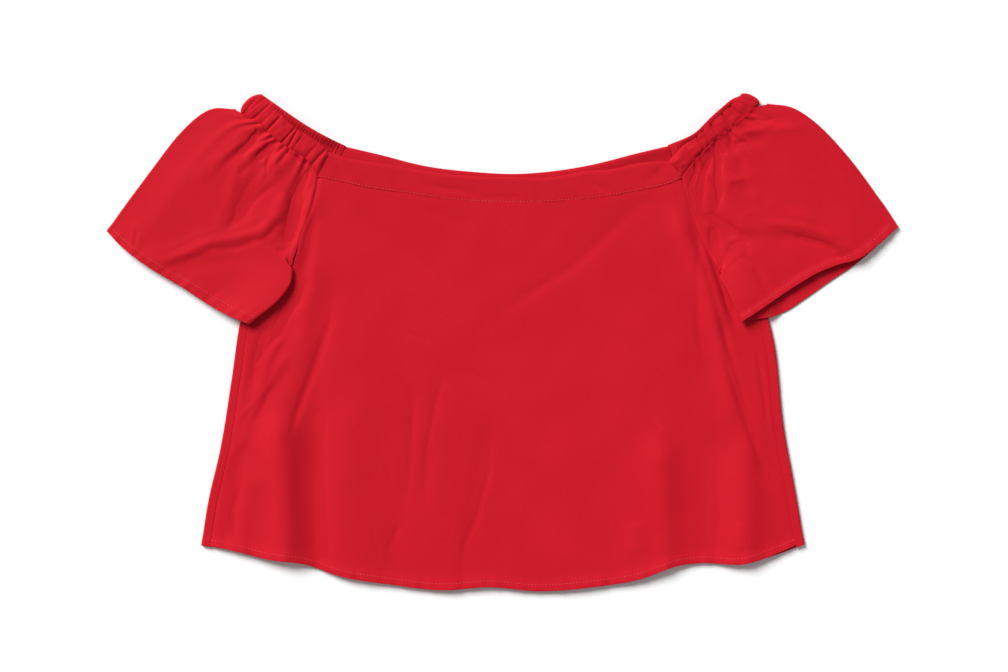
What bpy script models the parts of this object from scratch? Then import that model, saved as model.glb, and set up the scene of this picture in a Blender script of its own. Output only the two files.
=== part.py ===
"""An off-shoulder top laid flat on its back, as a maker would cut and sew it.

Eight pieces: front and back panel, two sleeves, a flat neck band front and back, and an
elastic casing over each shoulder. Sizes are in millimetres, with +X to the right, +Y to the
neck and +Z up from the surface that the top lies on, and become metres in the meshes.
"""

import math

import bmesh
import bpy
import numpy as np

METRE = 0.001
NUDGE = 1e-4

# Walls, and the room between pieces
WALL = 1.2
BAND_WALL = 2.0
CASING_WALL = 2.4
SEAM_GAP = 0.4
LAY_GAP = 0.45

# Heights of the middle of a wall above the surface
FLOOR_MID = WALL / 2
PANEL_LOWEST = 2.15
PANEL_HIGHEST = 5.6
SIDE_MID = 2.7
UNDERARM_MID = 2.45
EDGE_MID_AT = (-180.0, 20.0, 45.0, 85.0, 140.0)
EDGE_MIDS = (SIDE_MID, SIDE_MID, UNDERARM_MID, 2.7, 4.1)

# The folded side edge of the body: how far the back panel comes round to the front
SIDE_WRAP = 7.0
WRAP_START = 9.0
WRAP_FULL = 20.0
FLAT_FROM = 3.2
BACK_HEM_UP = -2.5
EDGE_SHARE = 0.2

# Outline of the body, in plan. x, y
NECK_SEAM = (
    (-164.7, 148.5), (-149.0, 145.3), (-128.3, 140.4), (-83.3, 133.6), (-42.8, 127.8),
    (-2.3, 125.5), (38.3, 126.0), (78.8, 129.2), (124.7, 136.8), (149.0, 142.6), (159.8, 147.6),
)
HEM = (
    (-270.9, -183.6), (-243.5, -188.1), (-211.1, -195.3), (-178.7, -199.8), (-146.3, -210.6),
    (-103.1, -217.8), (-54.5, -223.2), (-11.3, -220.5), (32.0, -224.1), (80.6, -220.5),
    (123.8, -213.3), (156.2, -201.6), (177.8, -198.9), (215.6, -199.8), (242.6, -193.5),
    (271.4, -182.7),
)
SIDE_LEFT = (
    (-229.6, 44.6), (-236.3, 18.0), (-243.5, -30.6), (-254.3, -98.1), (-265.1, -145.8),
    (-270.9, -183.6),
)
SIDE_RIGHT = (
    (233.9, 44.6), (240.1, 19.8), (243.7, 4.5), (253.4, -78.3), (264.2, -138.6), (271.4, -182.7),
)
UNDERARM_Y = 44.6
ARMHOLE_SHARE = 0.32

# Top edges of the neck band, in plan. x, y
BAND_TOP_FRONT = (
    (-155.3, 171.0), (-139.1, 165.2), (-124.2, 162.4), (-103.1, 159.3), (-63.5, 152.5),
    (-23.9, 148.5), (12.2, 147.9), (39.2, 147.2), (78.8, 153.9), (98.6, 155.1), (118.4, 159.8),
    (131.9, 161.7), (149.9, 162.4),
)
BAND_TOP_BACK = (
    (-140.9, 175.5), (-110.3, 168.3), (-70.7, 158.4), (-27.5, 153.0), (15.8, 151.2),
    (48.2, 153.9), (80.6, 159.3), (123.8, 170.1), (149.0, 176.0),
)
BAND_BOTTOM_BACK = (
    (-150.3, 157.3), (-112.0, 148.2), (-70.7, 138.4), (-27.5, 133.0), (15.8, 131.2),
    (48.2, 133.9), (80.6, 139.3), (123.8, 150.1), (155.6, 158.9),
)

# Folds of the front panel, as soft ridges (lift over 0) and troughs.
# x and y of one end, x and y of the other, half width, lift
PANEL_FOLDS = (
    (-156.0, 36.0, -173.0, -39.0, 11.0, -1.0),
    (-173.0, -39.0, -190.0, -86.0, 11.0, -0.9),
    (-178.0, -70.0, -178.0, -205.0, 13.0, -1.7),
    (-212.0, -110.0, -214.0, -198.0, 16.0, 1.3),
    (-142.0, -90.0, -138.0, -212.0, 18.0, 1.5),
    (-190.0, 12.0, -226.0, -38.0, 7.0, -0.9),
    (-203.0, -36.0, -227.0, -78.0, 7.0, -0.8),
    (-199.0, -20.0, -236.0, -92.0, 6.0, 0.9),
    (-236.0, -100.0, -243.0, -170.0, 6.0, -0.7),
    (194.0, 28.0, 217.0, -49.0, 9.0, -0.9),
    (217.0, -49.0, 234.0, -112.0, 9.0, -0.8),
    (176.0, 92.0, 182.0, -20.0, 10.0, -0.8),
    (203.0, 0.0, 222.0, -92.0, 10.0, 0.8),
    (168.0, -112.0, 169.0, -200.0, 20.0, -1.5),
    (122.0, -140.0, 122.0, -212.0, 18.0, 1.2),
    (214.0, -130.0, 214.0, -198.0, 16.0, 1.3),
    (-81.0, -52.0, -86.0, -135.0, 6.0, -0.45),
    (-57.0, -40.0, -70.0, -135.0, 7.0, -0.5),
    (-12.0, -84.0, -36.0, -212.0, 8.0, -0.6),
    (-94.0, -164.0, -104.0, -212.0, 8.0, -0.5),
    (-124.0, 112.0, -54.0, 53.0, 8.0, -0.4),
    (128.0, 127.0, 0.0, 28.0, 10.0, -0.5),
    (-39.0, -23.0, -12.0, -37.0, 8.0, -0.4),
)

# Folds that lie across the neck band
BAND_FOLDS = (
    (-150.0, 160.0, -142.0, 150.0, 5.0, -0.4),
    (-65.0, 141.0, -29.0, 134.0, 5.0, -0.35),
    (79.0, 144.0, 92.0, 136.0, 5.0, -0.35),
    (137.0, 150.0, 147.0, 160.0, 5.0, -0.4),
)

# Sleeve sections from the casing to the cuff, in plan: how far along, then x and y of the
# outer fold, of the front seam and of the back seam, and how far the folded edge hangs
# over the body past the front seam, in x and y. Past the underarm the two seams are one.
SLEEVE_LEFT = (
    (0.00, -240.5, 208.5, -165.8, 148.4, -150.9, 156.8, 0.0, 0.0),
    (0.20, -265.0, 207.9, -171.0, 122.4, -158.0, 127.0, 0.0, 0.0),
    (0.40, -292.0, 185.4, -181.5, 95.4, -173.0, 97.0, 0.0, 0.0),
    (0.55, -315.4, 155.2, -188.5, 75.6, -186.0, 76.0, 0.0, 0.0),
    (0.66, -326.0, 141.1, -194.5, 67.5, -194.5, 67.5, 5.5, -4.5),
    (0.76, -336.5, 127.1, -209.0, 55.6, -209.0, 55.6, 18.0, -4.0),
    (0.87, -346.0, 114.0, -229.6, 44.6, -229.6, 44.6, 27.0, -8.6),
    (1.00, -356.0, 99.9, -235.4, 24.0, -236.4, 24.0, 7.2, -7.8),
)
SLEEVE_RIGHT = (
    (0.00, 238.5, 213.5, 160.8, 147.8, 156.6, 158.6, 0.0, 0.0),
    (0.20, 263.0, 209.4, 174.0, 106.5, 170.0, 112.0, 0.0, 0.0),
    (0.40, 290.0, 189.6, 184.5, 84.0, 181.0, 88.0, 0.0, 0.0),
    (0.55, 312.0, 165.2, 193.6, 67.5, 192.6, 68.5, 0.0, 0.0),
    (0.66, 325.0, 148.4, 201.0, 61.5, 201.0, 61.5, -5.0, -4.5),
    (0.76, 336.0, 133.2, 213.4, 54.2, 213.4, 54.2, -10.5, -9.7),
    (0.87, 346.0, 119.4, 233.9, 44.6, 233.9, 44.6, -25.0, -13.0),
    (1.00, 356.0, 103.5, 240.2, 22.0, 241.2, 22.0, -25.4, -3.5),
)

# Cuffs, in plan from the outer fold inwards. x, y
CUFF_FRONT_LEFT = (
    (-356.0, 99.9), (-344.0, 87.2), (-329.9, 75.6), (-308.3, 61.2), (-286.7, 48.6),
    (-265.1, 34.2), (-243.5, 22.5), (-228.2, 16.2),
)
CUFF_BACK_LEFT = (
    (-356.0, 99.9), (-343.0, 88.6), (-328.5, 77.5), (-307.0, 63.2), (-285.5, 50.6),
    (-264.0, 36.4), (-246.0, 27.5), (-236.4, 24.0),
)
CUFF_FRONT_RIGHT = (
    (356.0, 103.5), (340.0, 89.5), (320.0, 75.0), (300.0, 69.0), (283.0, 62.1),
    (268.0, 53.5), (252.4, 43.2), (236.0, 32.0), (214.8, 18.5),
)
CUFF_BACK_RIGHT = (
    (356.0, 103.5), (339.8, 88.6), (318.2, 70.2), (296.6, 55.8), (272.0, 38.5),
    (256.0, 28.0), (241.2, 22.0),
)

# Folds of each sleeve's upper layer
SLEEVE_FOLDS_LEFT = (
    (-218.0, 186.0, -243.0, 165.0, 6.0, -1.1),
    (-205.0, 179.0, -219.0, 160.0, 6.0, -1.2),
    (-174.0, 156.0, -187.0, 130.0, 6.0, -1.2),
    (-187.0, 130.0, -185.0, 110.0, 7.0, -0.9),
    (-232.0, 182.0, -264.0, 156.0, 7.0, 0.8),
    (-236.0, 158.0, -250.0, 112.0, 8.0, 0.7),
    (-202.0, 144.0, -250.0, 99.0, 7.0, -0.6),
    (-198.0, 120.0, -216.0, 101.0, 8.0, 1.2),
    (-216.0, 101.0, -263.0, 90.0, 9.0, 1.3),
    (-263.0, 90.0, -314.0, 74.0, 8.0, 1.0),
    (-250.0, 74.0, -290.0, 68.0, 10.0, -0.7),
    (-329.0, 102.0, -331.0, 83.0, 5.0, 0.5),
)
SLEEVE_FOLDS_RIGHT = (
    (175.0, 162.0, 169.0, 139.0, 5.0, -1.0),
    (185.0, 166.0, 177.0, 117.0, 6.0, -1.3),
    (193.0, 174.0, 193.0, 123.0, 7.0, -1.3),
    (205.0, 192.0, 206.0, 175.0, 5.0, -0.9),
    (223.0, 199.0, 247.0, 200.0, 5.0, -0.9),
    (207.0, 176.0, 229.0, 181.0, 5.0, -0.8),
    (243.0, 192.0, 270.0, 192.0, 7.0, 0.6),
    (202.0, 145.0, 218.0, 147.0, 6.0, 0.5),
    (189.0, 101.0, 192.0, 74.0, 8.0, -0.9),
    (227.0, 108.0, 272.0, 103.0, 8.0, 1.4),
    (272.0, 103.0, 308.0, 86.0, 8.0, 1.2),
    (259.0, 96.0, 304.0, 79.0, 8.0, -1.0),
    (196.0, 105.0, 221.0, 94.0, 7.0, -0.9),
    (202.0, 90.0, 245.0, 45.0, 8.0, -0.8),
)

# Elastic casings: x and y of the upper and of the lower edge, from the band to the shoulder
# fold along the front, then from the fold to the band along the back.
CASING_FRONT_LEFT = (
    (-155.9, 171.2, -165.4, 149.2), (-161.6, 175.8, -172.6, 160.2), (-176.0, 185.8, -182.4, 168.8),
    (-184.1, 189.9, -192.8, 174.4), (-192.1, 197.1, -203.3, 181.2), (-199.8, 205.2, -211.8, 189.4),
    (-207.5, 213.3, -223.4, 199.2), (-215.6, 221.4, -234.6, 206.0),
)
CASING_BACK_LEFT = (
    (-215.6, 221.4, -234.6, 206.0), (-198.5, 208.8, -210.0, 192.6), (-175.1, 193.1, -186.0, 177.0),
    (-158.3, 183.6, -168.0, 167.0), (-141.8, 175.9, -151.0, 157.7),
)
CASING_FRONT_RIGHT = (
    (150.4, 162.8, 160.4, 148.6), (167.9, 181.2, 176.5, 167.5), (177.8, 191.1, 187.0, 178.0),
    (189.0, 202.6, 198.5, 187.2), (199.0, 211.4, 208.5, 195.6), (207.3, 218.2, 220.0, 204.0),
    (214.6, 221.8, 230.6, 214.4),
)
CASING_BACK_RIGHT = (
    (214.6, 221.8, 230.6, 214.4), (203.0, 214.5, 214.0, 196.0), (189.0, 202.0, 196.0, 178.5),
    (171.0, 185.8, 178.0, 167.0), (149.8, 176.8, 156.4, 159.4),
)
CASING_TURN = (0.47, 0.53)
CASING_END_MID = 4.75
CASING_RISE = 1.6
BULGE_FROM = 0.82
FRONT_PLEATS = 13
BACK_PLEATS = 18
PLEAT_DEPTH = 0.55
BACK_PLEAT_DEPTH = 0.385

# A row of points round a sleeve, as shares of it: up to where its back layer, its outer fold,
# its upper layer and the turn at the edge that shows go
BACK_TO = 0.36
FOLD_TO = 0.42
UPPER_TO = 0.80
TURN_TO = 0.90

# Shares of a sleeve's length, from its casing to its cuff
UNDERARM = 0.87
OVERHANG_START = 0.55
GATHER_REACH = 0.13
GATHERED_TO = 0.16

# Heights and folds of a sleeve
FRONT_GATHERS = 12
BACK_GATHERS = 9
SLEEVE_FOLD_RADIUS = 1.05
SLEEVE_CROWN = 5.15
SLEEVE_ROOM = 3.85
EDGE_RADIUS = 0.85
EDGE_RADIUS_ADDED = 0.75
EDGE_RAISED = 2.0
ON_PANEL = WALL + LAY_GAP
ON_SIDE_FOLD = 3.35
CASING_GAP = SEAM_GAP + 0.3

# Rows of points down a sleeve, which the panels share along their armholes
SLEEVE_ROWS = (
    0.0, 0.04, 0.09, 0.15, 0.22, 0.30, 0.38, 0.46, 0.53, 0.58, 0.64, 0.70, 0.76, 0.82, 0.87,
    0.90, 0.94, 1.0,
)

# The two sides, with how far the shoulder fold of the casing bulges
SIDES = {
    "left": {
        "casing_front": CASING_FRONT_LEFT, "casing_back": CASING_BACK_LEFT, "bulge": 3.6,
        "sections": SLEEVE_LEFT, "cuff_front": CUFF_FRONT_LEFT, "cuff_back": CUFF_BACK_LEFT,
        "folds": SLEEVE_FOLDS_LEFT,
    },
    "right": {
        "casing_front": CASING_FRONT_RIGHT, "casing_back": CASING_BACK_RIGHT, "bulge": 1.6,
        "sections": SLEEVE_RIGHT, "cuff_front": CUFF_FRONT_RIGHT, "cuff_back": CUFF_BACK_RIGHT,
        "folds": SLEEVE_FOLDS_RIGHT,
    },
}

CLOTH_RED = (0.60, 0.013, 0.025)
CLOTH_ROUGHNESS = 0.78


def smooth(t):
    """0 below 0, 1 above 1 and a soft ramp between."""
    t = np.clip(t, 0.0, 1.0)
    return t * t * (3.0 - 2.0 * t)


def hermite(knots, values, s):
    """Values at s on a smooth line through the values at the knots."""
    slopes = np.gradient(values, knots, axis=0)
    i = np.clip(np.searchsorted(knots, s, side="right") - 1, 0, len(knots) - 2)
    step = (knots[i + 1] - knots[i])[..., None]
    k = ((s - knots[i])[..., None]) / step
    a, b = values[i], values[i + 1]
    da, db = slopes[i] * step, slopes[i + 1] * step
    return (
        a * (2 * k**3 - 3 * k**2 + 1) + da * (k**3 - 2 * k**2 + k)
        + b * (3 * k**2 - 2 * k**3) + db * (k**3 - k**2)
    )


def curve(points):
    """A smooth curve through points, from 0 at its start to 1 at its end."""
    p = np.array(points, float)
    run = np.concatenate([[0.0], np.cumsum(np.linalg.norm(np.diff(p, axis=0), axis=1))])
    return lambda s: hermite(run / run[-1], p, np.clip(np.asarray(s, float), 0.0, 1.0))


def along(table, first):
    """A smooth curve through two columns of a table, placed by the table's first column."""
    rows = np.array(table, float)
    places, values = rows[:, 0], rows[:, first:first + 2]
    return lambda s: hermite(places, values, np.clip(np.asarray(s, float), 0.0, 1.0))


def joined(first, second, share):
    """One curve that has run through the first by share and through the second by 1."""
    def at(s):
        s = np.asarray(s, float)
        early = (s < share)[..., None]
        return np.where(early, first(s / share), second((s - share) / (1.0 - share)))
    return at


def patch(top, bottom, left, right):
    """The plan of a piece between four edges. u runs from left to right, v from top to bottom."""
    def at(u, v):
        u, v = np.asarray(u, float), np.asarray(v, float)
        u, v = np.broadcast_arrays(u, v)
        a, b = u[..., None], v[..., None]
        zero, one = np.zeros_like(u), np.ones_like(u)
        corners = (
            (1 - a) * (1 - b) * left(zero) + a * (1 - b) * right(zero)
            + (1 - a) * b * left(one) + a * b * right(one)
        )
        return (1 - b) * top(u) + b * bottom(u) + (1 - a) * left(v) + a * right(v) - corners
    return at


def folds(table, x, y):
    """Height that a table of folds adds at x, y."""
    height = np.zeros_like(x)
    for x0, y0, x1, y1, width, lift in table:
        length = math.hypot(x1 - x0, y1 - y0)
        ax, ay = (x1 - x0) / length, (y1 - y0) / length
        on = ((x - x0) * ax + (y - y0) * ay) / length
        off = (x - x0) * ay - (y - y0) * ax
        past = np.maximum(np.abs(on - 0.5) - 0.5, 0.0) * length
        height = height + lift * np.exp(-((off / width) ** 2) - (past / (1.6 * width)) ** 2)
    return height


def between(low, high, z):
    """z held between low and high, with a soft approach to both."""
    middle, half = (low + high) / 2, (high - low) / 2
    return middle + half * np.tanh((z - middle) / half)


def armhole(sections, first):
    """The armhole from the neck to the underarm, which is the sleeve's own seam."""
    seam = along(sections, first)
    return lambda s: seam(UNDERARM * np.asarray(s, float))


def body_edge(sections, first, side):
    """Side of the body from the neck to the hem: armhole, then side fold."""
    return joined(armhole(sections, first), curve(side), ARMHOLE_SHARE)


EDGE_STEPS = np.linspace(0.0, 1.0, 60)
LEFT_EDGE = body_edge(SLEEVE_LEFT, 3, SIDE_LEFT)(EDGE_STEPS)
RIGHT_EDGE = body_edge(SLEEVE_RIGHT, 3, SIDE_RIGHT)(EDGE_STEPS)
NECK_LINE = np.array(NECK_SEAM)


def edge_x(edge, y):
    """x of a side edge of the body at height y on the plan."""
    return np.interp(y, edge[::-1, 1], edge[::-1, 0])


def panel_mid(x, y):
    """Height of the middle of the front panel's wall."""
    inside = np.minimum(x - edge_x(LEFT_EDGE, y), edge_x(RIGHT_EDGE, y) - x)
    below_neck = np.interp(x, NECK_LINE[:, 0], NECK_LINE[:, 1]) - y
    edge = np.interp(y, EDGE_MID_AT, EDGE_MIDS)
    middle = 3.35 + 0.55 * np.exp(-np.maximum(below_neck, 0.0) / 22.0)
    rest = edge + (middle - edge) * smooth(inside / 32.0)
    lift = folds(PANEL_FOLDS, x, y) * smooth(inside / 14.0) * smooth(below_neck / 14.0)
    return between(PANEL_LOWEST, PANEL_HIGHEST, rest + lift)


def portion(whole, start, stop):
    """The stretch of a curve between two shares of its length."""
    return lambda s: whole(start + (stop - start) * np.asarray(s, float))


def front_edge(sections, side, inwards):
    """Side edge of the front panel: the armhole, then the seam inside the folded side."""
    whole = body_edge(sections, 3, side)

    def at(s):
        p = whole(s).copy()
        p[..., 0] += inwards * (SEAM_GAP + SIDE_WRAP * smooth((UNDERARM_Y - p[..., 1]) / WRAP_START))
        return p
    return at


def lowered(points, by):
    """The same points, moved down the plan."""
    return tuple((x, y - by) for x, y in points)


def front_panel():
    left = front_edge(SLEEVE_LEFT, SIDE_LEFT, 1.0)
    right = front_edge(SLEEVE_RIGHT, SIDE_RIGHT, -1.0)
    neck = curve(lowered(NECK_SEAM, SEAM_GAP))
    inset = (SIDE_WRAP + SEAM_GAP) / (HEM[-1][0] - HEM[0][0])
    plan = patch(neck, portion(curve(HEM), inset, 1.0 - inset), left, right)

    def at(u, v):
        p = plan(u, v)
        return np.dstack([p[..., 0], p[..., 1], panel_mid(p[..., 0], p[..., 1])])[0]
    return at


def back_panel():
    """The back, flat on the surface, with its folded sides and their seams on the front."""
    left = body_edge(SLEEVE_LEFT, 5, SIDE_LEFT)
    right = body_edge(SLEEVE_RIGHT, 5, SIDE_RIGHT)
    top = curve(lowered(BAND_BOTTOM_BACK, SEAM_GAP + 0.2))
    plan = patch(top, curve(lowered(HEM, BACK_HEM_UP)), left, right)

    def at(u, v):
        from_side = np.minimum(u, 1.0 - u) / EDGE_SHARE
        inner_share = np.clip((from_side - 1.0) / (0.5 / EDGE_SHARE - 1.0), 0.0, 1.0) * 0.5
        edge = np.where((u < 0.5)[..., None], left(v), right(v))
        width = np.linalg.norm(right(v) - left(v), axis=-1)
        radius = (panel_mid(edge[..., 0], edge[..., 1]) - FLOOR_MID) / 2
        angle = math.pi * np.clip((0.8 - from_side) / 0.45, 0.0, 1.0)
        strip = (SIDE_WRAP - radius) * np.clip((0.35 - from_side) / 0.35, 0.0, 1.0)
        run_in = (FLAT_FROM - radius) * np.clip((from_side - 0.8) / 0.2, 0.0, 1.0)
        wrap_x = radius - radius * np.sin(angle) + run_in + strip
        wrap_z = radius * (1.0 - np.cos(angle))
        open_x = SEAM_GAP + (FLAT_FROM - SEAM_GAP) * np.clip(from_side, 0.0, 1.0)
        wrapped = (UNDERARM_Y - edge[..., 1] - WRAP_START) / (WRAP_FULL - WRAP_START)
        raised, folded = smooth(wrapped / 0.6), smooth((wrapped - 0.4) / 0.6)
        rim_x = open_x + (wrap_x - open_x) * folded
        is_inner = from_side >= 1.0
        start = FLAT_FROM / width
        across = np.where(is_inner, start + (1.0 - 2.0 * start) * inner_share, rim_x / width)
        p = plan(np.where(u < 0.5, across, 1.0 - across), v)
        z = FLOOR_MID + np.where(is_inner, 0.0, wrap_z * raised)
        return np.dstack([p[..., 0], p[..., 1], z])[0]
    return at


def neck_band_front():
    top = curve(BAND_TOP_FRONT)
    bottom = curve(NECK_SEAM)
    left = curve((BAND_TOP_FRONT[0], NECK_SEAM[0]))
    right = curve((BAND_TOP_FRONT[-1], NECK_SEAM[-1]))
    plan = patch(top, bottom, left, right)

    def at(u, v):
        p = plan(u, v)
        x, y = p[..., 0], p[..., 1]
        z = 3.85 + 0.5 * np.abs(2.0 * u - 1.0) ** 3 + folds(BAND_FOLDS, x, y)
        return np.dstack([x, y, z])[0]
    return at


def neck_band_back():
    top = curve(BAND_TOP_BACK)
    bottom = curve(BAND_BOTTOM_BACK)

    def at(u, v):
        b = v[..., None]
        p = (1 - b) * top(u) + b * bottom(u)
        return np.dstack([p[..., 0], p[..., 1], np.full_like(u, BAND_WALL / 2)])[0]
    return at


def pleats(count, s):
    """Uneven pleats along a casing, from -1 in a pleat's trough to 1 on its crest."""
    bent = s + 0.012 * np.sin(2 * math.pi * 3.0 * s + 0.7) + 0.008 * np.sin(2 * math.pi * 7.0 * s)
    return np.cos(2 * math.pi * count * bent)


def casing(front, back, bulge):
    """A strip along the front, over the shoulder fold and back. u runs along, v across."""
    front, back = np.array(front, float), np.array(back, float)
    front_top, front_bottom = curve(front[:, :2]), curve(front[:, 2:])
    back_top, back_bottom = curve(back[:, :2]), curve(back[:, 2:])
    back_mid = CASING_WALL / 2
    radius = (CASING_END_MID - back_mid) / 2
    fold = front[-1]
    mirrored = fold[0] < 0
    across = (fold[2:] - fold[:2]) / np.linalg.norm(fold[2:] - fold[:2])
    outwards = np.array([across[1], -across[0]]) * (1.0 if across[1] * fold[0] > 0 else -1.0)

    def shares(u):
        """How far along the front, round the shoulder fold and along the back."""
        on_front = np.clip(u / CASING_TURN[0], 0.0, 1.0)
        turn = np.clip((u - CASING_TURN[0]) / (CASING_TURN[1] - CASING_TURN[0]), 0.0, 1.0)
        on_back = np.clip((u - CASING_TURN[1]) / (1.0 - CASING_TURN[1]), 0.0, 1.0)
        return on_front, turn, on_back

    def at(u, v):
        b = v[..., None]
        s_front, turn, s_back = shares(u)
        on_front = (1 - b) * front_top(s_front) + b * front_bottom(s_front)
        on_back = (1 - b) * back_top(s_back) + b * back_bottom(s_back)
        blend = smooth(turn)[..., None]
        near_fold = np.where(turn < 0.5, s_front, 1.0 - s_back)
        swell = bulge * 4.0 * v * (1.0 - v) * smooth((near_fold - BULGE_FROM) / (1.0 - BULGE_FROM))
        push = swell + radius * np.sin(math.pi * turn)
        plan = (1 - blend) * on_front + blend * on_back + push[..., None] * outwards
        rise = CASING_END_MID + CASING_RISE * np.sin(math.pi * s_front) ** 0.8
        arc = back_mid + radius * (1.0 + np.cos(math.pi * turn))
        z = np.where(turn <= 0.0, rise, np.where(turn >= 1.0, back_mid, arc))
        return np.dstack([plan[..., 0], plan[..., 1], z])[0]

    def thickness(u, v):
        """Half walls: pleats stand out on the front, and into the neck on the back."""
        s_front, _, s_back = shares(u)
        rounded = 1.0 - 0.45 * np.clip((np.abs(2.0 * v - 1.0) - 0.7) / 0.3, 0.0, 1.0)
        fade_front = smooth(s_front / 0.05) * smooth((1.0 - s_front) / 0.1)
        fade_back = smooth(s_back / 0.1) * smooth((1.0 - s_back) / 0.05)
        half = CASING_WALL / 2 * rounded
        outer = half + PLEAT_DEPTH * (pleats(FRONT_PLEATS, s_front) - 0.2) * fade_front
        inner = half + BACK_PLEAT_DEPTH * (pleats(BACK_PLEATS, s_back) - 0.6) * fade_back
        return (inner, outer) if mirrored else (outer, inner)
    return at, thickness


def gathers(count, s, phase):
    """Uneven gathers along a seam, from -1 to 1."""
    slow = 0.016 * np.sin(2 * math.pi * 2.0 * s + phase)
    quick = 0.010 * np.sin(2 * math.pi * 5.0 * s + 2.0 * phase)
    return np.cos(2 * math.pi * count * (s + slow + quick))


def gathered_seam(casing_rows, from_fold, outer):
    """The sleeve's edge along its casing, from the outer fold to the band."""
    rows = np.array(casing_rows, float)
    upper, lower = curve(rows[:, :2]), curve(rows[:, 2:])

    def at(a):
        s = np.asarray(a, float) if from_fold else 1.0 - np.asarray(a, float)
        away = lower(s) - upper(s)
        away = away / np.linalg.norm(away, axis=-1)[..., None]
        near = 1.0 - smooth(np.asarray(a, float) / 0.1)[..., None]
        beside = lower(s) + away * CASING_GAP
        return beside + (np.array(outer) - beside) * near
    return at


def unit(vectors):
    """The same directions with a length of one."""
    return vectors / np.maximum(np.linalg.norm(vectors, axis=-1), 1e-6)[..., None]


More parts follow.
